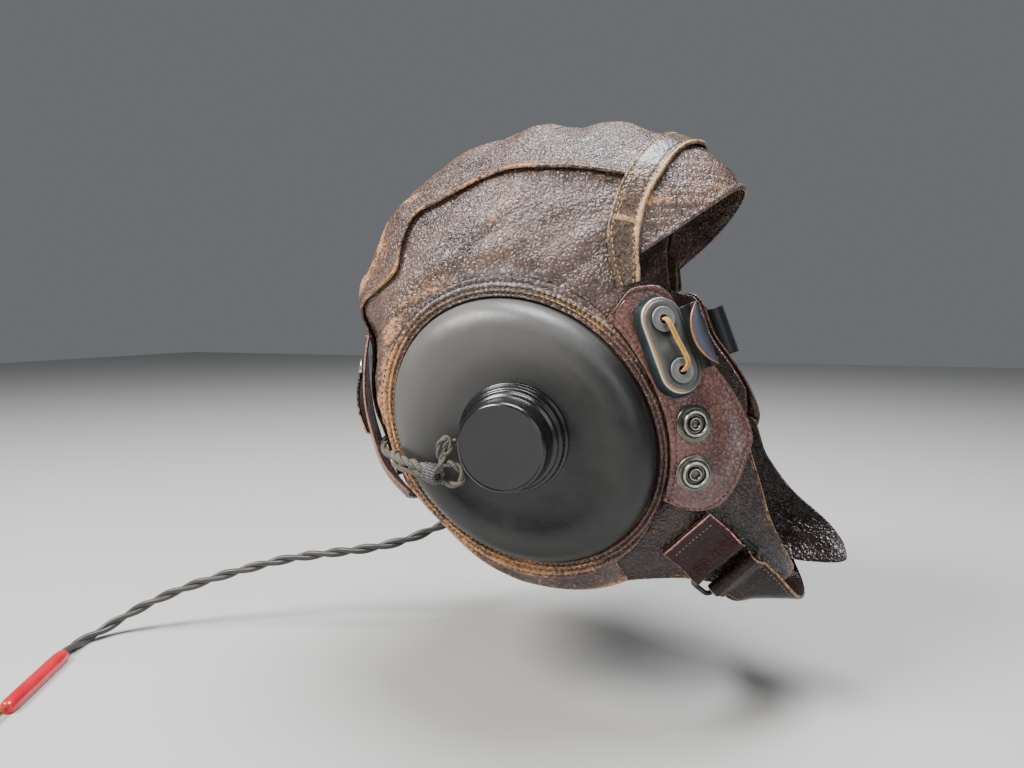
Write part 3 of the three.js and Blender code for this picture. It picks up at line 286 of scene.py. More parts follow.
SHELL = leather_material(
    "shell_leather", (0.050, 0.029, 0.021), (0.165, 0.104, 0.080), (0.60, 0.30, 0.12),
    bare=0.03, painted_glints=0.55, relief=0.6)
CROWN = leather_material(
    "crown_leather", (0.044, 0.025, 0.018), (0.135, 0.082, 0.061), (0.62, 0.29, 0.11),
    bare=0.08, painted_glints=0.5, relief=0.6)
BAND_LEATHER = leather_material(
    "band_leather", (0.026, 0.017, 0.012), (0.070, 0.046, 0.033), (0.50, 0.29, 0.14),
    gloss=0.36, crackle=0.8, bare=0.06, painted_glints=0.08, relief=0.22)
REDDISH = leather_material(
    "reddish_leather", (0.075, 0.031, 0.023), (0.185, 0.088, 0.067), (0.34, 0.17, 0.12),
    gloss=0.32, crackle=0.05, bare=-0.14, painted_glints=0.2, relief=0.25)
# a darker copy of the shell leather, painting the shade the curtain lies in
CURTAIN = leather_material(
    "curtain_shaded_leather", (0.014, 0.008, 0.006), (0.050, 0.030, 0.021), (0.50, 0.28, 0.12),
    gloss=0.34, crackle=0.1, bare=-0.06, painted_glints=0.15, relief=0.5, shine=0.5)
STRAP_LEATHER = leather_material(
    "strap_leather", (0.009, 0.005, 0.0035), (0.026, 0.014, 0.009), (0.46, 0.25, 0.12),
    gloss=0.30, crackle=0.0, bare=-0.14, painted_glints=0.06, relief=0.25, shine=0.25)
TAB_LEATHER = leather_material(
    "tab_leather", (0.012, 0.0035, 0.003), (0.034, 0.011, 0.009), (0.46, 0.22, 0.18),
    gloss=0.32, crackle=0.0, bare=-0.16, painted_glints=0.06, relief=0.25, shine=0.25)
# grey specks of dust and rubbing, which towards the cup's upper rear also paint part of its highlight; the
# painted highlight takes the default colour
RUBBER = plain_material(
    "ear_rubber", (0.010, 0.010, 0.0098), 0.36,
    grain=0.5, speck=(0.13, 0.125, 0.115), speck_share=0.5, scale=420)
BAKELITE = plain_material("receiver_black", (0.004, 0.004, 0.0045), 0.24, grain=0.08, coat=0.25)
# copper specks are wear; the bright colour is the painted highlight on the plate's bevel
GUNMETAL = plain_material(
    "hook_metal", (0.095, 0.098, 0.094), 0.42,
    metal=0.6, grain=0.5, speck=(0.50, 0.22, 0.07), speck_share=0.9, scale=900, pale=(0.80, 0.79, 0.76))
# darker than the plate's top: painted shade on the plate's side wall
PLATE_WALL = plain_material(
    "plate_wall", (0.022, 0.030, 0.027), 0.4,
    metal=0.5, grain=0.3, speck=(0.10, 0.14, 0.12), speck_share=0.7)
# near-black copy of the hook metal: painted shade inside the hook's bend
HOOK_SHADE = plain_material("hook_painted_shade", (0.008, 0.008, 0.008), 0.42, metal=0.3, grain=0.15)
# the hook's metal with copper wear, tinted blue to paint the sheen reflected on the lip's face
LIP_METAL = plain_material(
    "lip_metal", (0.075, 0.080, 0.105), 0.42,
    metal=0.75, grain=0.4, speck=(0.52, 0.24, 0.09), speck_share=0.9, scale=700)
WASHER = plain_material(
    "grommet_metal", (0.16, 0.165, 0.16), 0.42,
    metal=0.6, grain=0.5, speck=(0.50, 0.34, 0.20), speck_share=0.6, scale=1400)
NICKEL = plain_material(
    "snap_metal", (0.10, 0.098, 0.082), 0.27,
    metal=0.9, grain=0.08, speck=(0.52, 0.50, 0.44), speck_share=0.8)
BUCKLE_METAL = plain_material(
    "buckle_metal", (0.020, 0.022, 0.020), 0.35,
    metal=0.8, grain=0.15, speck=(0.06, 0.14, 0.11), speck_share=0.8)
BRIGHT = plain_material("rear_snap_metal", (0.60, 0.60, 0.60), 0.25, metal=1.0)
LACE = thread_material("lace_yellow", (0.66, 0.36, 0.08))
YELLOW_THREAD = thread_material("yellow_thread", (0.62, 0.40, 0.14))
RED_THREAD = thread_material("red_thread", (0.13, 0.035, 0.026))
SEAM_THREAD = thread_material("seam_thread", (0.36, 0.19, 0.12))
PALE_THREAD = thread_material("pale_thread", (0.40, 0.26, 0.17))
# near-black marks that paint the shade inside the empty stitch holes
HOLE_SHADE = thread_material("stitch_hole_shade", (0.008, 0.005, 0.004))
BRAID = braided_material("lead_braid", (0.05, 0.045, 0.038), (0.32, 0.29, 0.24))
TIE = braided_material("tie_thread", (0.010, 0.010, 0.010), (0.26, 0.255, 0.25))
CORD_COVER = plain_material(
    "cord_cover", (0.045, 0.040, 0.038), 0.36,
    grain=0.35, speck=(0.26, 0.23, 0.20), speck_share=0.6, scale=500)
PLUG_RED = plain_material("plug_red", (0.48, 0.006, 0.018), 0.2, grain=0.02, coat=0.4)
BRASS = plain_material("plug_brass", (0.42, 0.29, 0.12), 0.3, metal=1.0)

# Tables of the form, the same as in the part's source
HALF_LENGTH, CROWN_HEIGHT, HALF_WIDTH = 98, 108, 78
SECTION_POWER, FRONT_NARROWING, TOP_WIDENING = 2.3, 0.10, 0.04
LEATHER, LAYER_GAP, SEAM_GAP, PATCH_LIFT, FOLD_HEIGHT = 1.6, 0.5, 0.5, 1.2, 6
EAR_FORWARD, EAR_DROP, EAR_OUT, EAR_TILT, EAR_TOE = 9, 40.5, 68, 4.6, 3.4
CUP_HALF_LONG, CUP_HALF_SHORT, CUP_LEAN, CUP_RISE, CUP_WALL = 67, 57.5, 42, 15, 3
RECEIVER_RADIUS, RECEIVER_HEIGHT = 25.8, 21
OUTLINE = (1.12, 1.24, 1.255, 1.14, 1.05, 1.01, 1.02, 1.045, 1.035,
           0.975, 0.95, 0.975, 1.02, 1.19, 1.33, 1.49, 1.71, 1.38)
FOLDS = (  # around, across, spread, width, height
    (167, 27, 9, 16, 0.75), (181, 30, 9, 20, -0.45), (167, -27, 9, 16, 0.5), (181, -30, 9, 20, -0.3),
    (138, 36, 7, 9, 0.5), (88, 16, 6, 14, 0.38), (68, 6, 6, 16, 0.4), (77, 12, 5, 16, -0.3),
    (112, 20, 8, 12, 0.25), (124, -14, 9, 14, 0.3), (100, -30, 8, 12, -0.25), (213, 33, 8, 9, -0.4),
    (213, -33, 8, 9, -0.4),
)
SEAM = (  # around, across
    (52, 41.5), (60, 43), (70, 44), (80, 44), (90, 43.5), (100, 44.5), (110, 46), (120, 46), (130, 44.5),
    (140, 48.5), (150, 53), (160, 47), (170, 34), (180, 31), (195, 30), (210, 29.5), (226, 29),
)
BAND = (  # rear, rear across, front, front across
    (54.5, 0, 46.5, 0), (54, 16, 47, 13), (54, 27.5, 47.2, 23.5), (53.5, 37, 46, 34), (51, 49, 42.5, 47),
    (45.5, 58.5, 36.5, 54.5), (40.5, 62, 30, 57.8), (32.5, 64.5, 25, 59), (23.2, 65, 22.2, 59.6),
)
BROW_EDGE = ((0, 33.5), (16.5, 33.2), (35.5, 32), (48.5, 31), (57, 30.5))  # across, around
RING_WIDTH = (5, 5.6, 9.5, 10.5, 10, 9.5, 9, 6, 6.5, 9.5, 9, 5)
LOWER_EDGE = (  # turn round the cup, beyond it
    (211, 9.6), (220, 8.6), (230, 8.6), (241, 11), (253, 14.8), (264, 17.6), (275, 18), (286, 19),
    (296, 20), (304.5, 20),
)
PATCH = (  # turn of the rear edge; around and across of the front edge
    (52.5, 13.8, 66.8), (47, 20.6, 63), (42, 20.4, 58.5), (36, 17.5, 54), (29, 9, 48), (22, 0, 42),
    (15, -7.5, 36.5), (8, -13.5, 33.5), (1, -19, 32.2), (-6, -23.5, 36), (-13, -29.5, 42),
    (-19, -35.5, 48.5), (-24, -39, 54.5),
)
JOINT_UNDER_PATCH = ((-19.5, 36.5), (-23, 41), (-28, 46.5), (-33, 52), (-37.5, 56.5))
JOINT_UNDER_RING = (-27, -33, -39, -46, -54)
CURTAIN_EDGE = (  # around, across, flare
    (-20.5, 33, 0), (-26, 31.5, 0), (-31.5, 28.5, 0.35), (-35, 20, 0.9), (-37.5, 8, 1), (-39.5, 12, 0.5),
    (-41.5, 20, 0), (-45, 29, 0), (-50, 37, 0),
)
FLARE = 26


# Form
def smooth(value):
    value = np.clip(value, 0, 1)
    return value * value * (3 - 2 * value)


def ridge(distance, at, width):
    """1 at a distance and falling to nothing on both sides of it."""
    return np.exp(-((distance - at) / width) ** 2)


def through(before, start, end, after, t):
    bend = t * (2 * before - 5 * start + 4 * end - after + t * (3 * (start - end) + after - before))
    return start + 0.5 * t * (end - before + bend)


def round_table(values, angle):
    values, place = np.asarray(values, float), (np.asarray(angle) % 360) / (360 / len(values))
    row = np.floor(place).astype(int)
    pick = [values[(row + step) % len(values)] for step in (-1, 0, 1, 2)]
    return through(*pick, place - row)


def along_table(rows, share):
    """Smooth rows of a table at shares from 0 to 1 of its length; the last axis holds the columns."""
    rows, place = np.asarray(rows, float), np.clip(share, 0, 1) * (len(rows) - 1)
    row = np.minimum(np.floor(place).astype(int), len(rows) - 2)
    pick = [rows[np.clip(row + step, 0, len(rows) - 1)] for step in (-1, 0, 1, 2)]
    t = place - row
    return through(*pick, t[..., None] if rows.ndim > 1 else t)


SLOPE_UP, SLOPE_FORWARD = math.tan(math.radians(EAR_TILT)), -math.tan(math.radians(EAR_TOE))


def oval_radius(turn):
    own = np.radians(turn + CUP_LEAN)
    return 1 / np.hypot(np.cos(own) / CUP_HALF_LONG, np.sin(own) / CUP_HALF_SHORT)


def ear_plane(x, z):
    return EAR_OUT + SLOPE_UP * (z + EAR_DROP) + SLOPE_FORWARD * (x - EAR_FORWARD)


def form(around, across):
    reach = round_table(OUTLINE, around)
    inward = np.abs(np.cos(np.radians(across))) ** (2 / SECTION_POWER)
    outward = np.abs(np.sin(np.radians(across))) ** (2 / SECTION_POWER)
    x = HALF_LENGTH * reach * np.cos(np.radians(around)) * inward
    z = CROWN_HEIGHT * reach * np.sin(np.radians(around)) * inward
    width = HALF_WIDTH * (1 - FRONT_NARROWING * x / HALF_LENGTH + TOP_WIDENING * z / CROWN_HEIGHT)
    dx, dz = x - EAR_FORWARD, z + EAR_DROP
    share = np.hypot(dx, dz) / oval_radius(np.degrees(np.arctan2(dz, dx)))
    flat = (1 - smooth((share - 1.08) / 0.42)) * smooth((np.abs(across) - 15) / 20)
    out = width * outward * (1 - flat) + ear_plane(x, z) * flat
    return np.stack([x, np.where(across >= 0, -out, out), z], -1)


def to_map(around, across):
    radius = (1 - across / 90) * round_table(OUTLINE, around)
    return radius * np.cos(np.radians(around)), radius * np.sin(np.radians(around))


def from_map(a, b):
    around = np.degrees(np.arctan2(b, a))
    return around, 90 * (1 - np.hypot(a, b) / round_table(OUTLINE, around))


def form_normal(around, across):
    side = np.where(across < 0, -1.0, 1.0)
    a, b = to_map(around, np.abs(across))
    step = 0.005
    along_a = form(*from_map(a + step, b)) - form(*from_map(a - step, b))
    along_b = form(*from_map(a, b + step)) - form(*from_map(a, b - step))
    normal = np.cross(along_a, along_b)
    normal /= np.linalg.norm(normal, axis=-1, keepdims=True)
    normal[..., 1] *= side
    return normal


def fold_lift(around, across):
    total = 0
    for centre, side, spread, width, height in FOLDS:
        turn = (around - centre + 540) % 360 - 180
        fall = (turn / spread) ** 2 + ((across - side) / width) ** 2
        total = total + FOLD_HEIGHT * height * np.exp(-fall)
    return total


def surface(around, across, lift=0.0):
    around, across = np.broadcast_arrays(np.asarray(around, float), np.asarray(across, float))
    height = fold_lift(around, across) + lift
    return form(around, across) + form_normal(around, across) * np.asarray(height)[..., None]


def angles_of(x, z):
    around = np.degrees(np.arctan2(z / CROWN_HEIGHT, x / HALF_LENGTH))
    share = np.hypot(x / HALF_LENGTH, z / CROWN_HEIGHT) / round_table(OUTLINE, around)
    return around, np.degrees(np.arccos(np.minimum(1, share) ** (SECTION_POWER / 2)))


def round_cup(turn, beyond):
    turn = np.asarray(turn, float)
    radius, turned = oval_radius(turn) + beyond, np.radians(turn)
    return angles_of(EAR_FORWARD + radius * np.cos(turned), -EAR_DROP + radius * np.sin(turned))


def turn_of(around, across):
    point = form(around, across)
    return np.degrees(np.arctan2(point[..., 2] + EAR_DROP, point[..., 0] - EAR_FORWARD))


# Even noise of a place in mm, between -1 and 1
def noise(points, size, seed=0):
    place = np.asarray(points) / size
    cell = np.floor(place).astype(np.int64)
    t = place - cell
    t = t * t * (3 - 2 * t)
    total = 0
    for corner in np.ndindex(2, 2, 2):
        key = (cell + corner) @ np.array([374761393, 668265263, 1440662683]) + seed * 1274126177
        key = (key ^ (key >> 13)) * 1274126177 & 0xFFFFFFFF
        value = ((key ^ (key >> 16)) & 0xFFFF) / 32767.5 - 1
        weight = np.prod([t[..., k] if corner[k] else 1 - t[..., k] for k in range(3)], axis=0)
        total = total + value * weight
    return total


def drawn(base, run, rise, stretch=6.0):
    """Places stretched along a slanting line of the side, for creases that follow it."""
    return np.stack([(run * base[..., 0] + rise * base[..., 2]) / stretch,
                     run * base[..., 2] - rise * base[..., 0], 0 * base[..., 0]], -1)


def waves(points, *layers):
    """Sum of noise layers, each with its height, size and seed."""
    return sum(height * noise(points, size, seed) for height, size, seed in layers)


def crease(points, size, seed=0, sharp=3.0):
    """Narrow valleys, 0 away from them and -1 at their bottom."""
    return -np.exp(-((noise(points, size, seed) * sharp) ** 2) * 2)


# Meshes
PIECES = []


def piece(name, points, faces, finish, replaces=(), attributes=None, sharp=False):
    mesh = bpy.data.meshes.new(name)
    mesh.from_pydata(world(points).tolist(), [], faces)
    mesh.validate()
    for key, values in (attributes or {}).items():
        layer = mesh.attributes.new(key, "FLOAT", "POINT")
        layer.data.foreach_set("value", np.asarray(values, np.float32).ravel())
    mesh.polygons.foreach_set("use_smooth", [not sharp] * len(mesh.polygons))
    mesh.materials.append(finish)
    made = bpy.data.objects.new(name, mesh)
    bpy.context.scene.collection.objects.link(made)
    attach(made, "root")
    if replaces:
        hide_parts(*replaces)
    PIECES.append(made)
    return made


def grid_faces(rows, columns, closed_rows=False, closed_columns=False, start=0, flip=False):
    row_count = rows if closed_rows else rows - 1
    column_count = columns if closed_columns else columns - 1
    r, c = np.meshgrid(np.arange(row_count), np.arange(column_count), indexing="ij")
    r, c = r.ravel(), c.ravel()
    low, high, beside = r * columns, (r + 1) % rows * columns, (c + 1) % columns
    quads = np.stack([low + c, high + c, high + beside, low + beside], -1)
    if flip:
        quads = quads[:, ::-1]
    return (quads + start).tolist()


def shares(length, step, edge=(0.12, 0.35, 0.75, 1.4)):
    """Shares of a length: close together at both ends, then even."""
    ends = [e / length for e in edge if e < 0.3 * length]
    middle = np.linspace(ends[-1], 1 - ends[-1], max(3, int(length / step)))[1:-1]
    return np.array([0, *ends, *middle, *[1 - e for e in reversed(ends)], 1])


def wall_faces(rows, columns, closed):
    """Outer and inner faces of a wall, and the strips that close its first and last edge."""
    size = rows * columns
    faces = grid_faces(rows, columns, closed) + grid_faces(rows, columns, closed, start=size, flip=True)
    for r in range(rows if closed else rows - 1):
        low, high = r * columns, ((r + 1) % rows) * columns
        faces.append([low, low + size, high + size, high])
        low, high = low + columns - 1, high + columns - 1
        faces.append([high, high + size, low + size, low])
    return faces


SHEET_MARKS = {"wear": 0, "red": 0, "pale": 0, "hollow": 0.3}    # with their value on the inner face; two of the marks are painted highlight and painted shade, and the inner face gets a share of painted shade


class Sheet:
    """A sheet of leather over the form: places in degrees, its lift, and relief worked into it."""

    def __init__(self, around, across, lift, thick=LEATHER, closed=False, side=1, shift=None):
        self.around, self.across, self.thick, self.closed = around, across * side, thick, closed
        self.base = form(self.around, self.across)
        self.normal = form_normal(self.around, self.across)
        self.lift = fold_lift(self.around, self.across) + lift + thick / 2
        self.shift = 0 if shift is None else shift
        self.measure()

    def measure(self):
        gaps = np.linalg.norm(np.diff(self.base, axis=1), axis=-1)
        self.from_first = np.concatenate([np.zeros((len(gaps), 1)), np.cumsum(gaps, 1)], 1)
        self.from_last = self.from_first[:, -1:] - self.from_first
        rows = np.linalg.norm(np.diff(self.base, axis=0), axis=-1)
        self.from_top = np.concatenate([np.zeros((1, rows.shape[1])), np.cumsum(rows, 0)], 0)
        self.from_bottom = self.from_top[-1:] - self.from_top
        self.edge = np.minimum(self.from_first, self.from_last)
        if not self.closed:
            self.edge = np.minimum(self.edge, np.minimum(self.from_top, self.from_bottom))
        for name in SHEET_MARKS:
            setattr(self, name, np.zeros(self.base.shape[:2]))

    def middle(self):
        return self.base + self.normal * self.lift[..., None] + self.shift

    def outer(self, over=0.0):
        rounded = np.clip(self.edge / (self.thick / 2), 0, 1)
        half = self.thick / 2 * np.sqrt(1 - (1 - rounded) ** 2)
        return self.middle() + self.normal * (np.maximum(half, 0.08) + over)[..., None]

    def build(self, name, finish, node, slot):
        outer, middle = self.outer(), self.middle()
        inner = 2 * middle - outer
        rows, columns = self.lift.shape
        faces, size = wall_faces(rows, columns, self.closed), rows * columns
        if not self.closed:
            last = (rows - 1) * columns
            for c in range(columns - 1):
                faces.append([c + 1, c + 1 + size, c + size, c])
                faces.append([last + c, last + c + size, last + c + 1 + size, last + c + 1])
        down, across = outer[1:, :-1] - outer[:-1, :-1], outer[:-1, 1:] - outer[:-1, :-1]
        if np.sum(np.cross(down, across) * self.normal[:-1, :-1]) < 0:
            faces = [face[::-1] for face in faces]
        points = np.concatenate([outer.reshape(-1, 3), inner.reshape(-1, 3)])
        marks = {key: np.concatenate([getattr(self, key).ravel(), np.full(size, inside)])
                 for key, inside in SHEET_MARKS.items()}
        return piece(name, points, faces, finish, (node,) if node else (), marks)

    def line(self, distance, measure, over=0.0):
        """Points and normals of the line at a distance in mm from one edge."""
        outer = self.outer(over)
        points, normals = [], []
        by_row = measure in ("first", "last")
        field = {"first": self.from_first, "last": self.from_last, "top": self.from_top,
                 "bottom": self.from_bottom}[measure]
        for k in range(self.lift.shape[0 if by_row else 1]):
            values = field[k] if by_row else field[:, k]
            track = outer[k] if by_row else outer[:, k]
            facing = self.normal[k] if by_row else self.normal[:, k]
            if values[0] > values[-1]:
                values, track, facing = values[::-1], track[::-1], facing[::-1]
            points.append([np.interp(distance, values, track[:, i]) for i in range(3)])
            normals.append([np.interp(distance, values, facing[:, i]) for i in range(3)])
        return np.array(points), np.array(normals)


def unit(vector):
    return vector / np.linalg.norm(vector, axis=-1, keepdims=True)


def squared(vectors, ahead):
    """Unit vectors turned square to the way ahead."""
    return unit(vectors - ahead * np.sum(vectors * ahead, 1, keepdims=True))


def lengths_of(points):
    """Length along a line at each of its points."""
    return np.concatenate([[0], np.cumsum(np.linalg.norm(np.diff(points, axis=0), axis=-1))])


def at_lengths(points, lengths, at):
    return np.stack([np.interp(at, lengths, points[:, k]) for k in range(points.shape[1])], -1)


class Ribbon(Sheet):
    """A strap along a line, with the direction of its width at each point and the side that faces out."""

    def __init__(self, points, wides, out, width, thick=LEATHER, step=1.1):
        rows = along_table(np.concatenate([points, wides], 1), np.linspace(0, 1, 40 * len(points)))
        lengths = lengths_of(rows[:, :3])
        rows = at_lengths(rows, lengths, shares(lengths[-1], step) * lengths[-1])
        ahead = unit(np.gradient(rows[:, :3], axis=0))
        even = np.ones(13) / 13
        wides = np.stack([np.convolve(np.pad(rows[:, k], 6, "edge"), even, "valid") for k in (3, 4, 5)], -1)
        wide = squared(wides, ahead)
        facing = np.cross(ahead, wide)
        facing *= np.sign(facing[0] @ out)
        u = shares(width, step) - 0.5
        self.base = rows[:, None, :3] + wide[:, None] * (u * width)[None, :, None]
        self.normal = np.broadcast_to(facing[:, None], self.base.shape).copy()
        self.lift = np.zeros(self.base.shape[:2])
        self.thick, self.closed, self.shift = thick, False, 0
        self.measure()


def resampled(points, step, closed=False):
    points = np.asarray(points, float)
    if closed:
        points = np.concatenate([points, points[:1]])
    lengths = lengths_of(points)
    count = max(2, int(round(lengths[-1] / step)))
    at = (np.arange(count) + 0.5) * lengths[-1] / count
    return at_lengths(points, lengths, at), lengths[-1] / count


class Stitches:
    """All the stitches of one colour on one part, as one piece."""

    def __init__(self):
        self.points, self.faces = [], []

    def row(self, line, pitch, radius, share=0.68):
        points, normals = line
        middles, pitch = resampled(np.concatenate([points, normals], 1), pitch)
        ahead = unit(np.gradient(middles[:, :3], axis=0))
        up = squared(middles[:, 3:], ahead)
        aside = np.cross(ahead, up)
        spans = np.array([-1, -0.75, 0, 0.75, 1]) * pitch * share / 2
        sizes = np.array([0.25, 0.8, 1, 0.8, 0.25]) * radius
        dips = np.array([-0.9, -0.15, 0.1, -0.15, -0.9]) * radius
        for middle, a, u, s in zip(middles[:, :3], ahead, up, aside):
            start = sum(len(p) for p in self.points)
            rings = []
            for span, size, dip in zip(spans, sizes, dips):
                for angle in np.arange(5) * 2 * math.pi / 5:
                    lifted = u * (dip + size * math.cos(angle))
                    rings.append(middle + a * span + lifted + s * size * math.sin(angle))
            self.points.append(np.array(rings))
            self.faces += grid_faces(5, 5, closed_columns=True, start=start)
            self.faces += [[start + k for k in (4, 3, 2, 1, 0)], [start + 20 + k for k in range(5)]]

    def build(self, name, finish, slot):
        return piece(name, np.concatenate(self.points), self.faces, finish, ())


def tube_data(points, radius, sides=12, step=1.2):
    """Rings and faces of a round tube along a line, with its length and turn kept for the material."""
    points = curve(points, step)
    ahead = unit(np.gradient(points, axis=0))
    up = np.cross(ahead[0], [0.3, 0.2, 1.0])
    lengths = lengths_of(points)
    rings, along, turns = [], [], []
    for k, (point, a) in enumerate(zip(points, ahead)):
        up = unit(up - a * (up @ a))
        side = np.cross(a, up)
        for j in range(sides):
            angle = 2 * math.pi * j / sides
            rings.append(point + radius * (up * math.cos(angle) + side * math.sin(angle)))
            along.append(lengths[k])
            turns.append(abs(2 * j / sides - 1))
    faces = grid_faces(len(points), sides, closed_columns=True)
    faces += [list(range(sides))[::-1], [(len(points) - 1) * sides + j for j in range(sides)]]
    return np.array(rings), faces, along, turns


def strands(points, count, offset, radius, pitch, sides=10, step=1.0, turn=0.0):
    """Strands twisted about a line, ready for merged()."""
    line = curve(points, step)
    ahead = unit(np.gradient(line, axis=0))
    up = np.cross(ahead[0], [0.3, 0.2, 1.0])
    ups = []
    for a in ahead:
        up = unit(up - a * (up @ a))
        ups.append(up)
    ups = np.array(ups)
    asides = np.cross(ahead, ups)
    lengths = lengths_of(line)
    made = []
    for k in range(count):
        angle = (2 * np.pi * (lengths / pitch + k / count) + turn)[:, None]
        centre = line + offset * (ups * np.cos(angle) + asides * np.sin(angle))
        made.append(tube_data(centre, radius, sides, step))
    return made


def curve(points, step):
    """A smooth line through given points."""
    points = np.asarray(points, float)
    fine = along_table(points, np.linspace(0, 1, 24 * len(points)))
    lengths = lengths_of(fine)
    return at_lengths(fine, lengths, np.linspace(0, lengths[-1], max(4, int(lengths[-1] / step))))


def merged(name, datas, finish, replaces=()):
    points, faces, along, turns, start = [], [], [], [], 0
    for rings, own, own_along, own_turns in datas:
        points.append(rings)
        faces += [[i + start for i in face] for face in own]
        along += list(own_along)
        turns += list(own_turns)
        start += len(rings)
    return piece(name, np.concatenate(points), faces, finish, replaces, {"along": along, "turn": turns})


def rounded(profile, radius=0.4, steps=3):
    """A profile with its corners rounded."""
    profile = [np.array(p, float) for p in profile]
    out = [profile[0]]
    for before, corner, after in zip(profile, profile[1:], profile[2:]):
        first, second = before - corner, after - corner
        cut = min(radius, 0.45 * np.linalg.norm(first), 0.45 * np.linalg.norm(second))
        start = corner + first / np.linalg.norm(first) * cut
        end = corner + second / np.linalg.norm(second) * cut
        for k in range(steps + 1):
            t = k / steps
            out.append(start * (1 - t) ** 2 + corner * 2 * t * (1 - t) + end * t * t)
    return out + [profile[-1]]


def basis(axis, front=(0, 0, 1)):
    """Columns x, y, z with y along the axis and x towards the front."""
    y = np.array(axis, float) / np.linalg.norm(axis)
    x = np.array(front, float) - y * np.dot(front, y)
    x /= np.linalg.norm(x)
    return np.stack([x, y, np.cross(x, y)], -1)


def lathe(name, profile, point, axis, side, finish, sides, round_by, replaces, wear=None):
    """A turned piece: radius and height of its profile, about an axis from a point."""
    rows = rounded(profile, round_by)
    point, columns = mirror(point, side), basis(mirror(axis, side))
    angles = 2 * np.pi * np.arange(sides) / sides
    ring = np.stack([np.cos(angles), np.zeros(sides), np.sin(angles)], -1)
    points = [point + columns @ (np.array([r * c[0], h, r * c[2]])) for r, h in rows for c in ring]
    faces = [f[::-1] for f in grid_faces(len(rows), sides, closed_columns=True)]
    worn = np.repeat([wear(r, h) if wear else 0 for r, h in rows], sides)
    made = piece(name, points, faces, finish, replaces, {"wear": worn})
    weld(made)
    return made


def weld(made):
    work = bmesh.new()
    work.from_mesh(made.data)
    bmesh.ops.remove_doubles(work, verts=work.verts, dist=1e-6)
    bmesh.ops.recalc_face_normals(work, faces=work.faces)
    work.to_mesh(made.data)
    work.free()


SIDES = ((1, "right"), (-1, "left"))


def mirror(points, side):
    return np.asarray(points, float) * np.array([1.0, side, 1.0])


def band_around(across):
    middles = [((r[0] + r[2]) / 2, (r[1] + r[3]) / 2) for r in BAND]
    return np.interp(np.abs(across), [m[1] for m in middles], [m[0] for m in middles])


# Shell
STITCH_PITCH, SEAM_ROWS = 2.6, (3.0, 6.2)       # mm
SEAM_LAP, RING_HOLES = 9, 4.2
SIDE_PULL, CROWN_PULL = (0.82, 0.57), (0.95, 0.3)  # slants of the long creases, forward and up


def crown_panel():
    overlap = 2.4
    s = shares(340, 1.7)
    u = shares(180, 1.7)
    seam = along_table(SEAM, s)
    across = (seam[:, 1:2] + overlap) * (2 * u[None, :] - 1)
    first = np.clip(1 - s * (len(SEAM) - 1), 0, 1)[:, None]
    around = seam[:, 0:1] * (1 - first) + (band_around(across) + 0.8 + 8 * (1 - first)) * first
    sheet = Sheet(around, across, -LEATHER)
    base, near = sheet.base, np.minimum(sheet.from_first, sheet.from_last)
    lap = smooth(1 - near / SEAM_LAP)
    wave = waves(base, (0.55, 24, 1), (0.35, 9, 2), (0.16, 4, 3))
    wave += 0.5 * crease(base, 26, 4, 4) + 0.25 * crease(base, 13, 5, 4)
    pulls = crease(drawn(base, *CROWN_PULL, 4), 7, 8, 4)
    wave += 0.35 * pulls
    sheet.lift += 2.3 * lap + wave * (1 - 0.6 * lap) + 0.5 * ridge(near, 1.2, 1.2)
    sheet.lift -= 0.35 * ridge(near, SEAM_ROWS[0], 0.6) + 0.3 * ridge(near, SEAM_ROWS[1], 0.7)
    back = smooth((sheet.around - 108) / 30) * (0.25 * smooth((near - 6) / 16) + 0.12 * noise(base, 12, 6))
    back = back - 0.03 + waves(base, (0.12, 20, 7), (0.08, 7, 9))
    sheet.wear = 0.25 * ridge(near, 0, 1.6) + 0.3 * np.clip(wave, -0.3, 0.6) + back
    # painted shade along the stitch rows and in the long creases
    sheet.hollow = 0.55 * sum(ridge(near, row, 0.4) for row in SEAM_ROWS)
    sheet.hollow += 0.35 * np.clip(-pulls - 0.6, 0, 1) * (1 - lap)
    sheet.build("crown_leather", CROWN, "crown_panel", "shell_leather")
    stitches = Stitches()
    for edge in ("first", "last"):
        for distance in SEAM_ROWS:
            stitches.row(sheet.line(distance, edge), STITCH_PITCH, 0.4)
    stitches.build("crown_stitches", SEAM_THREAD, "shell_leather")


def pulled(around, across, distance):
    centre = to_map(*angles_of(EAR_FORWARD, -EAR_DROP))
    a, b = to_map(around, across)
    share = distance / 130 / np.hypot(a - centre[0], b - centre[1])
    return a + (centre[0] - a) * share, b + (centre[1] - b) * share


def joint_line():
    ring = [round_cup(turn, round_table(RING_WIDTH, turn) - 1.6) for turn in JOINT_UNDER_RING]
    return np.array([*JOINT_UNDER_PATCH, *[(float(a), float(b)) for a, b in ring]])


def side_outline():
    band = []
    for share in np.linspace(0.94, 0.5, 5):
        row = along_table(BAND, np.array(share))
        band.append(((row[0] + row[2]) / 2, (row[1] + row[3]) / 2))
    seam = along_table(SEAM, np.linspace(1 / (len(SEAM) - 1), 1, 90)).tolist()
    seam = [(float(band_around(SEAM[0][1])), SEAM[0][1]), *seam]
    lower = np.array([round_cup(*row) for row in along_table(LOWER_EDGE, np.linspace(0, 1, 40))]).tolist()
    front = along_table([row[1:] for row in PATCH[2:8]], np.linspace(0, 1, 12)).tolist()[::-1]
    return np.array([*seam, *lower, *joint_line()[::-1].tolist(), *front, *band])


def across_map(first, second, t, lift, closed, side, thick=LEATHER):
    """A sheet between two lines of the map."""
    a = first[0][:, None] * (1 - t) + second[0][:, None] * t
    b = first[1][:, None] * (1 - t) + second[1][:, None] * t
    around, across = from_map(a, b)
    return Sheet(around, across, lift, thick, closed, side)


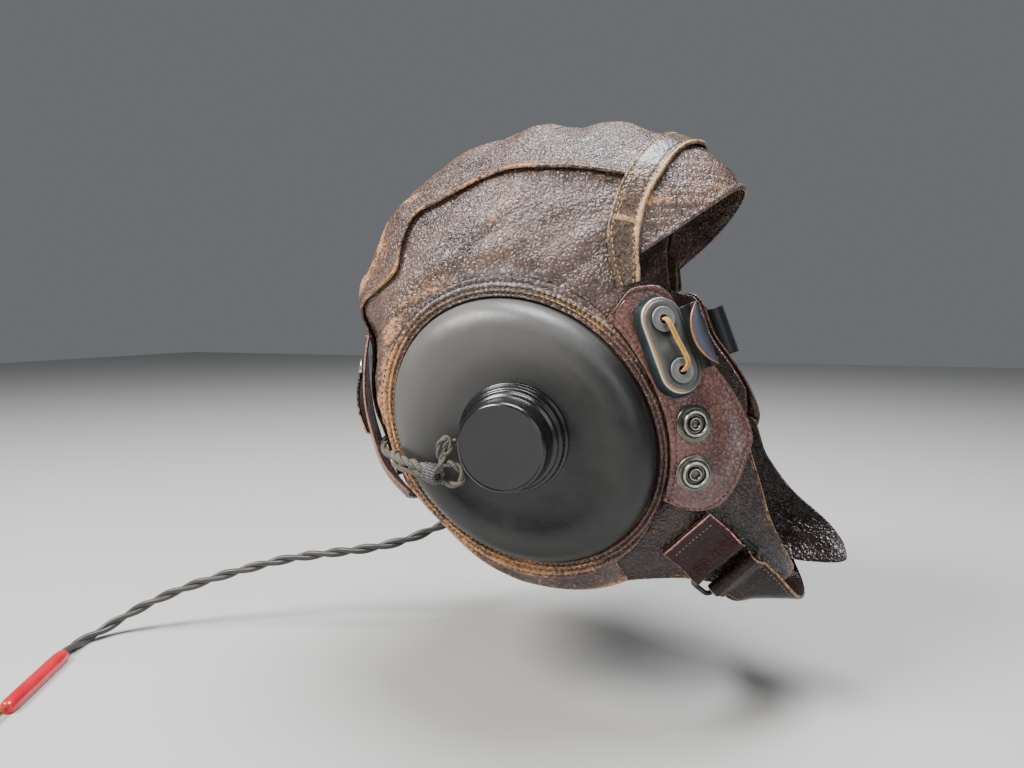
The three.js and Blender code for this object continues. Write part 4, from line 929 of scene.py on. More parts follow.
def side_panel(side, word):
    places = side_outline()
    outline = resampled(np.stack(to_map(*places.T), -1), 1.6 / 95, closed=True)[0]
    around, across = from_map(*outline.T)
    hole = to_map(*round_cup(turn_of(around, across), -3.5))
    sheet = across_map(hole, pulled(around, across, SEAM_GAP), shares(70, 1.9), -LEATHER, True, side)
    base = sheet.base
    wave = waves(base, (0.6, 26, 11), (0.3, 10, 12), (0.14, 4.5, 13))
    wave += 0.45 * crease(base, 30, 14, 4) + 0.25 * crease(base, 15, 15, 4)
    free = smooth(sheet.from_first / 12) * smooth(sheet.from_last / 6)
    pulls = crease(drawn(base, *SIDE_PULL), 7.5, 17, 4)
    wave += 0.7 * pulls + 0.4 * noise(drawn(base, *SIDE_PULL, 4), 5, 18)
    # painted shade in the long creases
    sheet.hollow = 0.6 * np.clip(-pulls - 0.55, 0, 1) * free
    hem = (sheet.around < -20) * ridge(sheet.from_last, 2.2, 2)
    sheet.lift += wave * free + 0.9 * hem
    ring = ridge(sheet.from_first, 15, 7) * smooth((-base[..., 0] + 10) / 50)
    sheet.wear = 0.25 * np.clip(wave, -0.3, 0.6) * free + 0.26 * ring + 0.25 * hem
    sheet.wear += 0.12 * noise(base, 24, 16)
    # painted highlight on the ridge above the cup
    over_cup = ridge(base[..., 0], -8, 26) * (base[..., 2] > 0)
    sheet.pale = 0.8 * ridge(sheet.from_first, 15.5, 2.6) * over_cup * (0.7 + 0.5 * noise(base, 5, 19))
    sheet.build(f"side_leather_{word}", SHELL, f"side_panel_{word}", "shell_leather")


# Height, distance from the inner edge and width
RING_RIDGES = ((0.6, 0.9, 0.7), (0.9, 3.1, 0.75), (0.7, 5.8, 0.9))
RING_VALLEYS = ((1, 2.0, 0.45), (1, 4.4, 0.5), (0.7, 7.4, 0.45))


def ear_ring(side, word):
    turns = np.linspace(0, 360, 260, endpoint=False)
    inside = to_map(*round_cup(turns, SEAM_GAP))
    outside = to_map(*round_cup(turns, round_table(RING_WIDTH, turns)))
    sheet = across_map(inside, outside, shares(9, 0.6, (0.15, 0.4, 0.8)), LAYER_GAP, True, side)
    inner, outer = sheet.from_first, sheet.from_last
    ridges = sum(height * ridge(inner, *row) for height, *row in RING_RIDGES)
    valley = sum(depth * ridge(inner, *row) for depth, *row in RING_VALLEYS)
    sheet.lift += ridges - 0.6 * valley - 0.5 * ridge(outer, 0, 1.2) + 0.25 * noise(sheet.base, 7, 21)
    turn = turns[:, None]
    rubbed = ridge(turn, 168, 38) + 0.9 * ridge(turn, 262, 40)
    sheet.red = 1 - smooth((np.abs((turn - 355 + 180) % 360 - 180) - 52) / 6) + 0 * inner
    sheet.wear = ((0.05 + 0.3 * rubbed) * smooth(inner / 4) + 0.2 * ridges - 0.05) * (1 - 0.85 * sheet.red)
    # painted shade in the valleys
    sheet.hollow = 0.7 * valley
    # painted highlight along the top of the ring
    sheet.pale = ridge(turn, 97, 26) * (0.6 * ridge(inner, 5.8, 1.6) + 0.25 * ridges)
    sheet.build(f"ring_leather_{word}", SHELL, f"ear_ring_{word}", "shell_leather")

    def arc(distance, start, end):
        return [part[(turns > start) & (turns < end)] for part in sheet.line(distance, "first")]

    stitches = Stitches()
    for distance, end, thread in ((2.0, 302, 0.3), (4.3, 302, 0.3), (3.2, 84, 0.36), (5.4, 84, 0.36)):
        stitches.row(arc(distance, 50, end), STITCH_PITCH, thread)
    stitches.build(f"ring_stitches_{word}", YELLOW_THREAD, "shell_leather")
    # painted shade of the empty stitch holes
    holes = Stitches()
    for place in ((RING_HOLES, -1, 49), (RING_HOLES, 303, 361), (7.4, 90, 300)):
        holes.row(arc(*place), 2.8, 0.42, 0.4)
    holes.build(f"ring_hole_shade_{word}", HOLE_SHADE, "shell_leather")


def brow_band():
    share = 2 * shares(300, 1.5) - 1
    rows = along_table(BAND, np.abs(share))
    t = shares(12, 0.65, (0.15, 0.4, 0.8))
    around = rows[:, 0:1] * (1 - t) + rows[:, 2:3] * t
    across = (rows[:, 1:2] * (1 - t) + rows[:, 3:4] * t) * np.sign(share)[:, None]
    sheet = Sheet(around, across, LAYER_GAP)
    rear, front = sheet.from_first, sheet.from_last
    roll = ridge(front, 1.3, 1.0)
    crossing = ridge(np.abs(share), 0.60, 0.006)[:, None] * smooth(rear / 2) * smooth(front / 2)
    wave = waves(sheet.base, (0.3, 8, 31), (0.16, 3.5, 32))
    sheet.lift += 1.0 * roll + 0.35 * ridge(rear, 0.8, 0.7) + wave + 0.5 * crossing
    sheet.lift -= 0.4 * ridge(rear, 2.2, 0.5) + 0.4 * ridge(front, 3.2, 0.6)
    sheet.wear = 0.4 * roll + 0.6 * crossing + 0.2 * wave + 0.1 * ridge(rear, 0.8, 0.7)
    # painted shade in the stitch grooves
    sheet.hollow = 0.6 * (ridge(rear, 2.2, 0.4) + ridge(front, 3.2, 0.4))
    sheet.build("band_leather", BAND_LEATHER, "brow_band", "shell_leather")
    stitches = Stitches()
    stitches.row(sheet.line(2.2, "first"), 2.9, 0.36)
    stitches.row(sheet.line(3.2, "last"), 2.9, 0.28)
    stitches.build("band_stitches", YELLOW_THREAD, "shell_leather")


def brow_panel():
    across = 57 * (2 * shares(230, 1.6) - 1)
    edge = np.interp(np.abs(across), [r[0] for r in BROW_EDGE], [r[1] for r in BROW_EDGE])
    middle = band_around(across) - 0.8
    t = shares(45, 0.9)
    around = edge[:, None] * (1 - t) + middle[:, None] * t
    sheet = Sheet(around, np.broadcast_to(across[:, None], around.shape), -LEATHER)
    place = np.stack([sheet.base[..., 1] * 0.16, sheet.from_first * 1.15 - 0.012 * sheet.base[..., 1] ** 2,
                      0 * sheet.from_first], -1)
    fine = 0.30 * noise(place, 2.6, 41) + 0.45 * crease(place, 4.4, 42, 3) + 0.5 * noise(place, 9, 43)
    free = smooth(sheet.from_first / 3)
    sheet.lift += fine * free + 0.4 * ridge(sheet.from_first, 1.5, 1.4)
    sheet.wear = 0.05 + 0.4 * np.clip(fine, -0.3, 0.5)
    # painted shade where the panel runs under the band
    sheet.hollow = 0.6 * smooth(1 - sheet.from_last / 6)
    sheet.build("brow_leather", SHELL, "brow_panel", "shell_leather")


def cheek_patch(side, word):
    rows = along_table(PATCH, shares(165, 1.3))
    turn = rows[:, 0]
    rear = to_map(*round_cup(turn, round_table(RING_WIDTH, turn) + SEAM_GAP))
    front = to_map(rows[:, 1], rows[:, 2])
    sheet = across_map(rear, front, shares(42, 1.2), PATCH_LIFT, False, side)
    base = sheet.base
    wave = waves(base, (0.35, 18, 51), (0.14, 6, 52))
    valley = ridge(sheet.edge, 2.6, 0.6)
    sheet.lift += wave * smooth(sheet.edge / 5) + 0.3 * ridge(sheet.edge, 1.1, 0.8) - 0.3 * valley
    sheet.wear = 0.1 * wave + 0.3 * ridge(sheet.edge, 0.6, 0.7)
    # painted shade in the valley inside the edge
    sheet.hollow = 0.35 * valley
    # painted highlight on the bulge at the front of the patch
    bulge = ridge(sheet.from_last, 9, 5) * ridge(base[..., 2], -43, 17)
    sheet.pale = 0.4 * bulge * (0.6 + 0.6 * noise(base, 5, 53))
    sheet.build(f"patch_leather_{word}", REDDISH, f"cheek_patch_{word}", "reddish_leather")
    stitches = Stitches()
    for edge in ("first", "last", "top", "bottom"):
        points, normals = sheet.line(2.6, edge)
        stitches.row((points[3:-3], normals[3:-3]), STITCH_PITCH, 0.34)
    stitches.build(f"patch_stitches_{word}", RED_THREAD, "reddish_leather")


def chin_curtain(side, word):
    flare = FLARE if side < 0 else 0
    joint = joint_line()
    s = shares(75, 1.3)
    start = np.stack(pulled(*along_table(joint, s).T, 2.0), -1)
    turn, beyond = LOWER_EDGE[-1]
    corner = round_cup(turn - 1.5, beyond - 0.5)
    edge_rows = along_table([*CURTAIN_EDGE, (float(corner[0]), float(corner[1]), 0)], s)
    end = np.stack(to_map(edge_rows[:, 0], edge_rows[:, 1]), -1)
    t = shares(60, 1.5)
    sheet = across_map(start.T, end.T, t, -LEATHER, False, side)
    forward = flare * np.clip(edge_rows[:, 2:3], 0, 1) * t[None, :] ** 2
    sheet.shift = np.stack([forward, 0 * forward, 0 * forward], -1)
    base = sheet.base
    ribs = np.stack([sheet.from_last * 0.22, sheet.from_top, 0 * sheet.from_top], -1)
    wave = waves(base, (0.7, 16, 61), (0.4, 7, 62)) + 0.5 * crease(base, 12, 63, 3.5)
    wave += 0.35 * noise(ribs, 2.4, 64) * smooth(1 - sheet.from_last / 22) * smooth(sheet.from_last / 4)
    rim = ridge(sheet.from_last, 0.9, 0.7) + 0.8 * ridge(sheet.from_last, 3.0, 0.7)
    sheet.lift += wave * smooth(sheet.edge / 5) + 0.5 * rim - 0.4 * ridge(sheet.from_last, 1.9, 0.5)
    sheet.lift -= 1.9 * smooth(1.3 - sheet.from_first / 3.5)
    sheet.wear = 0.15 * wave + 0.45 * rim
    sheet.build(f"curtain_shaded_leather_{word}", CURTAIN, f"chin_curtain_{word}", "shell_leather")


# Ear cups and receivers
EAR_AXIS = np.array([-SLOPE_FORWARD, -1, -SLOPE_UP])
EAR_AXIS /= np.linalg.norm(EAR_AXIS)
EAR_ORIGIN = np.array([EAR_FORWARD, -EAR_OUT, -EAR_DROP])
EAR_UP = np.array([0, 0, 1]) - EAR_AXIS * EAR_AXIS[2]
EAR_UP /= np.linalg.norm(EAR_UP)
EAR_FRONT = -np.cross(EAR_AXIS, EAR_UP)
NECK_RADIUS = 0.87 * RECEIVER_RADIUS
CUP_SECTION = (  # share of the way in, height as a share of the rise
    (0, 0), (0.005, 0.16), (0.012, 0.32), (0.035, 0.5), (0.08, 0.68), (0.14, 0.83), (0.22, 0.94),
    (0.31, 0.995), (0.42, 0.99), (0.55, 0.92), (0.7, 0.86), (0.86, 0.84), (0.95, 0.875), (1, 0.95),
)


def ear_point(forward, up, out):
    return EAR_ORIGIN + EAR_FRONT * forward + EAR_UP * up + EAR_AXIS * out


def ear_cup(side, word):
    count = 150
    turns = np.linspace(0, 360, count, endpoint=False)
    section = along_table(CUP_SECTION, np.linspace(0, 1, 54))
    rim, hole = oval_radius(turns), NECK_RADIUS + 0.3
    inward, height = section[:, 0][None, :], CUP_RISE * section[:, 1][None, :]
    radius = rim[:, None] * (1 - inward) + hole * inward
    inner_radius = np.maximum(radius - CUP_WALL * (inward < 0.1), hole)
    inner_height = np.maximum(height - CUP_WALL, 0.25 * height)

    def placed(radius, height):
        x = EAR_FORWARD + radius * np.cos(np.radians(turns))[:, None]
        z = -EAR_DROP + radius * np.sin(np.radians(turns))[:, None]
        return np.stack([x, -ear_plane(x, z), z], -1) + EAR_AXIS * (LAYER_GAP + height)[..., None]

    outer = placed(radius, height + 0 * radius)
    dents = waves(outer, (0.32, 20, 71), (0.12, 6, 72))
    outer = outer + EAR_AXIS * (dents * smooth(inward / 0.1))[..., None]
    inner = placed(inner_radius, inner_height + 0 * radius)
    points = mirror(np.concatenate([outer.reshape(-1, 3), inner.reshape(-1, 3)]), side)
    upper_rear = radius * (np.sin(np.radians(turns)) - 0.6 * np.cos(np.radians(turns)))[:, None]
    # a rubbed rim, and lighter specks growing towards the upper rear that are partly dust and partly painted
    # highlight
    rubbed = 0.3 * ridge(section[:, 0], 0.02, 0.02)[None, :] + 0.1 * smooth((upper_rear + 5) / 60)
    # painted highlight over the upper rear of the cup, weaker towards the receiver
    pale = 0.55 * smooth((upper_rear + 15) / 75) * (1 - 0.5 * smooth((section[:, 0] - 0.5) / 0.3))[None, :]
    faces = wall_faces(count, len(section), True)
    made = piece(f"cup_rubber_{word}", points, faces, RUBBER, (f"ear_cup_{word}",),
                 {"wear": np.concatenate([rubbed.ravel(), 0 * rubbed.ravel()]),
                  "pale": np.concatenate([pale.ravel(), 0 * pale.ravel()])})
    weld(made)


def receiver(side, word):
    seat = LAYER_GAP + CUP_RISE * 0.95 + 0.3
    r, h = RECEIVER_RADIUS, RECEIVER_HEIGHT
    under = seat - 0.3 - 3 - 0.3 - 1
    profile = [(0.01, under - 7), (NECK_RADIUS - 4, under - 7), (NECK_RADIUS + 2, under - 4),
               (NECK_RADIUS + 2, under), (NECK_RADIUS, under), (NECK_RADIUS, seat), (r - 0.3, seat),
               (r, seat + 0.4), (r, seat + 0.15 * h), (r - 1, seat + 0.17 * h), (0.955 * r, seat + 0.18 * h),
               (0.95 * r, seat + 0.24 * h), (0.93 * r, seat + 0.32 * h), (0.875 * r, seat + 0.345 * h),
               (0.87 * r, seat + 0.40 * h), (0.845 * r, seat + 0.44 * h), (0.80 * r, seat + 0.47 * h),
               (0.785 * r, seat + 0.90 * h), (0.765 * r, seat + 0.965 * h), (0.73 * r, seat + h),
               (0.71 * r, seat + 0.985 * h), (0.01, seat + 0.985 * h)]
    lathe(f"receiver_cap_{word}", profile, EAR_ORIGIN, EAR_AXIS, side, BAKELITE, 128, 0.5,
          (f"receiver_{word}",))


# Mask hooks, in their own frame: x down the plate, y out of the leather, z to the rear
HOOK_PLACE, HOOK_LIFT, HOOK_BOW, HOOK_SLANT = (-0.9, 51.5), 3.1, 1.9, 22
HOOK_SPACING, PLATE_RADIUS, PLATE_THICK, LIP_LENGTH, HOOK_REACH, HOOK_THICK = 23.6, 10, 4, 29, 7, 2.4
LIP_FRONT, LIP_TOP, LIP_THICK, FLAP, FLAP_THICK = 14.5, 10.5, 3.36, 7.5, 1.4
LACE_ROUTE = (  # share of the way to a grommet, height over the plate, bow to the front
    (-1, -1.6, 0), (-1, 1.8, 0), (-0.79, 3.6, 0.3), (-0.2, 3.7, 1), (0.35, 3.9, 1.9), (0.79, 4, 2),
    (1, 1.8, 0), (1, -1.6, 0),
)


def hook_frame():
    def chord(around, across):
        a, c = HOOK_PLACE
        return surface(a + around, c + across) - surface(a - around, c - across)
    axis = unit(np.cross(chord(11, 0), chord(0, 5)))
    down = (math.sin(math.radians(HOOK_SLANT)), 0, -math.cos(math.radians(HOOK_SLANT)))
    return surface(*HOOK_PLACE, HOOK_LIFT) + axis * HOOK_BOW, basis(axis, down)


HOOK_AT, HOOK_BASIS = hook_frame()


def on_hook(points, side):
    return mirror(HOOK_AT + np.asarray(points, float) @ HOOK_BASIS.T, side)


def stadium(inset, count=20):
    half, radius = HOOK_SPACING / 2, PLATE_RADIUS - inset
    angles = np.radians(np.linspace(-90, 90, count))
    end = np.stack([half + radius * np.cos(angles), radius * np.sin(angles)], -1)
    return np.concatenate([end, -end])


def bevelled(made, width):
    bevel = made.modifiers.new("bevel", "BEVEL")
    bevel.width = width / 1000
    bevel.segments = 2
    bevel.limit_method = "ANGLE"
    bevel.angle_limit = math.radians(30)


def hook_piece(name, points, faces, finish, wear, side, replaces=(), **more):
    made = piece(name, on_hook(points, side), faces, finish, replaces, {"wear": wear, **more})
    weld(made)
    return made


def hook_plate(side, word):
    rows = ((0, 2.9), (0.12, 3.2), (0.4, 3.42), (0.75, 3.46), (1.3, 3.5), (1.6, 3.75), (2.0, 3.95), (2.4, 4))
    worn = (0, 0, 0, 0.3, 0.75, 0.65, 0.1, 0)
    # painted highlight along the bevel
    bevel_highlight = (0.2, 0.75, 0.8, 0.2, 0, 0, 0, 0)
    rings = [np.insert(stadium(inset), 1, height, axis=1) for inset, height in rows]
    count = len(rings[0])
    points = np.concatenate(rings)
    faces = grid_faces(len(rings), count, closed_columns=True)
    half, edge = HOOK_SPACING / 2, PLATE_RADIUS - rows[-1][0]
    corner = math.atan2(edge, -half)
    angles = np.linspace(0, 2 * np.pi, 48, endpoint=False)
    angles = np.sort(np.concatenate([angles, [corner, 2 * np.pi - corner]]))
    for way in (1, -1):
        start = len(points)
        for radius, height in ((None, PLATE_THICK), (3.3, PLATE_THICK), (3.3, PLATE_THICK - 3)):
            ring = []
            for t in angles:
                reach = radius or edge
                if math.cos(t) < 0 and not radius:
                    reach = min(edge / max(abs(math.sin(t)), 1e-6), -half / math.cos(t))
                ring.append((way * (half + reach * math.cos(t)), height, reach * math.sin(t)))
            points = np.concatenate([points, ring])
        faces += grid_faces(3, len(angles), closed_columns=True, start=start)
    wear = np.concatenate([np.repeat(worn, count), np.zeros(len(points) - count * len(rings))])
    wear = wear * smooth(0.5 + points[:, 2] / 8) - 0.1
    # painted highlight on the bevel, stronger towards the rear
    pale = np.concatenate([np.repeat(bevel_highlight, count), np.zeros(len(points) - count * len(rings))])
    pale = pale * (0.3 + 0.7 * smooth(0.3 + points[:, 2] / 8))
    hook_piece(f"hook_plate_{word}", points, faces, GUNMETAL, wear, side, (f"mask_hook_{word}",), pale=pale)


def hook_wall(side, word):
    skirt = ((-1.5, -1.9), (-1.25, -0.6), (-0.8, 0.9), (-0.3, 2.2), (-0.02, 2.7), (0.06, 2.95))
    walls = np.concatenate([np.insert(stadium(inset), 1, height, axis=1) for inset, height in skirt])
    count = len(stadium(0))
    faces = grid_faces(len(skirt), count, closed_columns=True)
    wear = np.repeat((0, 0.1, 0.2, 0.3, 0.6, 0.6), count)
    hook_piece(f"hook_wall_{word}", walls, faces, PLATE_WALL, wear, side)


def hook_bend(side, word):
    angles = np.radians(np.linspace(-90, 0, 14))
    centre = np.array([PLATE_RADIUS - 2.5, HOOK_REACH + 0.1])
    outer = centre + HOOK_REACH * np.stack([np.cos(angles), np.sin(angles)], -1)
    inner = centre + (HOOK_REACH - HOOK_THICK) * np.stack([np.cos(angles), np.sin(angles)], -1)
    section = [*outer, (LIP_FRONT, LIP_TOP - 0.5), (LIP_FRONT - LIP_THICK, LIP_TOP - 0.5), *inner[::-1]]
    across = np.linspace(-LIP_LENGTH / 2, LIP_LENGTH / 2, 15)
    body = [(x, out, -ahead) for x in across for ahead, out in section]
    size = len(section)
    faces = grid_faces(len(across), size, closed_columns=True)
    faces += [list(range(size))[::-1], [(len(across) - 1) * size + k for k in range(size)]]
    # near-black painted shade for the inside of the hook
    made = hook_piece(f"hook_bend_{word}", body, faces, HOOK_SHADE, [0.0] * len(body), side)
    bevelled(made, 0.5)


def hook_lip(side, word):
    half = LIP_LENGTH / 2
    arc = (half ** 2 + FLAP ** 2) / (2 * FLAP)
    spread = math.asin(half / arc)
    turn = np.linspace(-spread, spread, 41)
    curved = np.stack([arc * np.sin(turn), LIP_FRONT - FLAP + arc * (1 - np.cos(turn))], -1)
    shares_in = (0, 0.06, 0.2, 0.5, 0.8, 1)
    points, wear = [], []
    for level in (0, 1):
        for t in shares_in:
            for x, ahead in curved:
                depth = LIP_FRONT - ahead
                rise = 0.5 * math.sin(math.pi * t) * depth / FLAP
                edge = 0.25 * (t == 0) + 0.12 * (t == 1)
                out = LIP_TOP - edge + rise if level else LIP_TOP - FLAP_THICK + edge
                points.append((x, out, -(ahead + depth * t)))
                wear.append(level * (0.55 * (t < 0.1) + 0.08 * (0.1 < t < 0.9)))
    columns, rows_in = len(curved), len(shares_in)
    size = columns * rows_in
    faces = grid_faces(rows_in, columns, start=0) + grid_faces(rows_in, columns, start=size, flip=True)
    for row in (0, rows_in - 1):
        for k in range(columns - 1):
            a, b = row * columns + k, row * columns + k + 1
            faces.append([a, b, b + size, a + size])
    hook_piece(f"hook_lip_{word}", points, faces, LIP_METAL, wear, side)


def grommets(side, word):
    profile = [(1.85, 1), (3.1, 1), (3.1, 4.2), (5.5, 4.2), (5.75, 4.5), (5.6, 4.95), (5.2, 5.2), (4.8, 5.15),
               (3.6, 5.05), (2.7, 5.15), (2.3, 5.3), (2.0, 5.2), (1.85, 4.8), (1.85, 1)]
    for name, x in (("upper", -HOOK_SPACING / 2), ("lower", HOOK_SPACING / 2)):
        lathe(f"grommet_ring_{name}_{word}", profile, on_hook([(x, 0, 0)], 1)[0], HOOK_BASIS[:, 1], side,
              WASHER, 48, 0.15, (f"grommet_{name}_{word}",),
              wear=lambda r, h: 0.2 * (r > 5.0) + 0.1 * (r < 2.6))


def hook_lace(side, word):
    datas = []
    for aside in (-0.6, 0.6):
        route = []
        for share, height, bow in LACE_ROUTE:
            beside = aside * (abs(share) < 1 or height > 0)
            route.append((share * HOOK_SPACING / 2, PLATE_THICK + height, -bow + beside))
        datas.append(tube_data(on_hook(route, side), 0.6, 12, 0.5))
    merged(f"lace_strands_{word}", datas, LACE, (f"hook_lace_{word}",))


# Snap sockets
SNAPS = (("upper", -20, 50.8), ("lower", -30.5, 52.8))
SNAP_PROFILE = (  # radius, height
    (0.01, 0), (8.2, 0), (8.4, 0.35), (8.3, 0.9), (7.6, 1.35), (6.9, 1.75), (6.5, 1.7), (6.25, 1.4),
    (6.0, 1.7), (5.85, 2.6), (5.6, 3.1), (5.1, 3.2), (4.6, 2.9), (4.4, 2.0), (4.2, 1.2), (3.4, 1.1),
    (3.1, 1.5), (2.95, 2.3), (2.6, 2.6), (2.1, 2.5), (1.75, 2.0), (1.65, 0.9), (0.01, 0.8),
)


def snaps(side, word):
    for name, around, across in SNAPS:
        point = surface(around, across, PATCH_LIFT + LEATHER + 0.6)
        lathe(f"snap_socket_{name}_{word}", SNAP_PROFILE, point, form_normal(around, across), side,
              NICKEL, 64, 0.2, (f"snap_{name}_{word}",),
              wear=lambda r, h: 0.5 * (h > 2.5) + 0.35 * (r > 7.9) + 0.3 * (6.6 < r < 7.2) - 0.3 * (r < 1.8))


# Chin strap, buckle and tab: x along the strap from the fixed bar, y outwards, z across its width
STRAP_AT, STRAP_LIFT, STRAP_THICK, STRAP_WIDTH, TAB_WIDTH, TAB_LENGTH = -42.5, 1.3, 1.8, 26, 29, 20
BUCKLE_ACROSS, BUCKLE_PITCH, EYE_WALL, LOOP_RADIUS = 41.7, 11.5, 3.402, 2.68


def strap_frame(across):
    point = form(STRAP_AT, across)
    along = unit(form(STRAP_AT, across - 1) - form(STRAP_AT, across + 1))
    jaw = unit(form(STRAP_AT + 3, across) - form(STRAP_AT - 3, across))
    flat = np.array([1, 0, 0.1])
    wide = flat + (jaw - flat) * smooth((abs(across) - 12) / 22)
    wide = unit(wide - along * (wide @ along))
    return point, along, wide, unit(np.cross(along, wide))


BUCKLE_POINT, BUCKLE_ALONG, BUCKLE_WIDE, BUCKLE_OUT = strap_frame(BUCKLE_ACROSS)
BUCKLE_AT = BUCKLE_POINT + BUCKLE_OUT * (EYE_WALL + STRAP_LIFT)


def on_buckle(x, y, z=0.0):
    return BUCKLE_AT + BUCKLE_ALONG * x + BUCKLE_OUT * y + BUCKLE_WIDE * z


def round_bar(x, start, end, count=9):
    angles = np.radians(np.linspace(start, end, count))
    return [(x + LOOP_RADIUS * math.cos(t), LOOP_RADIUS * math.sin(t)) for t in angles]


def buckle_tab():
    path = [(-TAB_LENGTH, -0.75), (-15, -0.95), (-10, -1.05), (-6.5, -0.6), (-4.2, 0.6),
            *round_bar(0, 125, -90), (-4, -2.72), (-9, -2.65), (-15, -2.45), (-TAB_LENGTH, -2.3)]
    points = np.array([on_buckle(*p) for p in path])
    sheet = Ribbon(points, np.repeat(BUCKLE_WIDE[None], len(path), 0), BUCKLE_OUT, TAB_WIDTH, 1.45, 0.9)
    wave = waves(sheet.base, (0.22, 8, 81), (0.12, 3, 82))
    wave += 0.15 * crease(sheet.base, 9, 83, 3)
    sheet.lift += wave * smooth(sheet.edge / 3) - 0.3 * ridge(sheet.from_top, 4.6, 0.5)
    sheet.wear = 0.7 * ridge(sheet.edge, 0, 0.6) + 0.1 * wave
    sheet.build("tab_leather", TAB_LEATHER, "buckle_tab", "reddish_leather")
    stitches = Stitches()
    points, normals = sheet.line(4.6, "top")
    stitches.row((points[6:-6], normals[6:-6]), 2.1, 0.3, 0.5)
    stitches.build("tab_stitches", PALE_THREAD, "reddish_leather")


def chin_strap():
    loop = [(8.9, -1.6), *round_bar(BUCKLE_PITCH, 200, 30), (15.0, 0.4), (16.4, -0.6), (18.2, -1.6)]
    points = [on_buckle(*p) for p in loop]
    wides = [BUCKLE_WIDE] * len(loop)
    for across in np.linspace(31.5, -46, 22):
        point, _, wide, out = strap_frame(across)
        points.append(point + out * (STRAP_LIFT + STRAP_THICK / 2))
        wides.append(wide)
    facing = BUCKLE_OUT - BUCKLE_ALONG
    sheet = Ribbon(np.array(points), np.array(wides), facing, STRAP_WIDTH, STRAP_THICK, 1.2)
    wave = waves(sheet.base, (0.25, 14, 91), (0.1, 5, 92))
    sheet.lift += wave * smooth(sheet.edge / 4) * smooth(sheet.from_top / 20)
    sheet.wear = 0.75 * ridge(sheet.edge, 0, 0.8) + 0.1 * np.clip(wave, -0.3, 0.5)
    sheet.build("strap_leather", STRAP_LEATHER, "chin_strap", "reddish_leather")
    stitches = Stitches()
    for edge in ("first", "last"):
        points, normals = sheet.line(2.4, edge)
        stitches.row((points[14:-6], normals[14:-6]), 2.4, 0.3, 0.5)
    stitches.build("strap_stitches", PALE_THREAD, "reddish_leather")


def chin_buckle():
    half, corner = TAB_WIDTH / 2 + 0.3 + 1.2, 2.6
    path = []
    for x, z, start in ((BUCKLE_PITCH, half, 0), (0, half, 90), (0, -half, 180), (BUCKLE_PITCH, -half, 270)):
        cx, cz = (x - corner if x else corner), z - math.copysign(corner, z)
        for t in np.radians(np.linspace(start, start + 90, 7)):
            path.append(on_buckle(cx + corner * math.cos(t), 0, cz + corner * math.sin(t)))
    path = [on_buckle(BUCKLE_PITCH, 0, 0), *path, on_buckle(BUCKLE_PITCH, 0, 0)]
    rings, faces, *_ = tube_data(resampled(np.array(path), 1.0)[0], 1.18, 12, 0.8)
    piece("buckle_frame", rings, faces, BUCKLE_METAL, ("chin_buckle",),
          {"wear": 0.3 + 0.5 * noise(rings, 6, 95)})


# Rear straps with their snaps
REAR_SNAP_PROFILE = (  # radius, height
    (0.01, 0), (5.3, 0), (5.5, 0.3), (5.4, 0.8), (4.6, 1.3), (3.4, 1.9), (2.0, 2.25), (0.01, 2.4),
)


REAR_AT, REAR_RUN, REAR_WIDE = (178, 34), (56, -3), 14     # degrees, degrees, mm
SNAP_SHARE, MM_PER_DEGREE = 0.2, 1.35


def rear_lift(around, across, along):
    bridge = np.maximum(0, -fold_lift(around, across))
    return 0.5 + bridge + 3.6 * np.sin(np.pi * along) ** 0.8 + 2.1 * smooth((along - 0.55) / 0.3)


def rear_strap(side, word):
    along = shares(95, 1.2)[:, None]
    u = shares(14, 0.9)[None, :]
    around = REAR_AT[0] + REAR_RUN[0] * along + 0 * u
    across = REAR_AT[1] + REAR_RUN[1] * along + REAR_WIDE / 2 / MM_PER_DEGREE * (2 * u - 1)
    sheet = Sheet(around, across, LAYER_GAP + rear_lift(around, across, along), LEATHER, False, side)
    wave = waves(sheet.base, (0.25, 12, 101), (0.12, 4, 102))
    sheet.lift += wave * smooth(sheet.edge / 3)
    sheet.wear = 0.7 * ridge(sheet.edge, 0, 0.9) + 0.2 * wave
    sheet.build(f"rear_leather_{word}", REDDISH, f"rear_strap_{word}", "reddish_leather")
    along = shares(34, 1.2)[:, None]
    u = shares(10, 0.9)[None, :]
    around = 190.5 + 20 * along + 0 * u
    across = 33.3 - 1.2 * along + 5 / MM_PER_DEGREE * (2 * u - 1)
    over = rear_lift(around, across, 0.22 + 0.36 * along) + LEATHER + 0.5 + 1.5 * np.sin(np.pi * along)
    sheet = Sheet(around, across, LAYER_GAP + over, LEATHER, False, side)
    sheet.wear = 0.5 * ridge(sheet.edge, 0, 0.9) + 0.25 * noise(sheet.base, 5, 103)
    sheet.build(f"rear_tab_{word}", STRAP_LEATHER, None, "reddish_leather")
    place = [at + run * SNAP_SHARE for at, run in zip(REAR_AT, REAR_RUN)]
    point = surface(*place, LAYER_GAP + LEATHER + rear_lift(*place, SNAP_SHARE) + 0.6)
    lathe(f"rear_snap_cap_{word}", REAR_SNAP_PROFILE, point, form_normal(*place), side, BRIGHT, 48, 0.3,
          (f"rear_snap_{word}",))


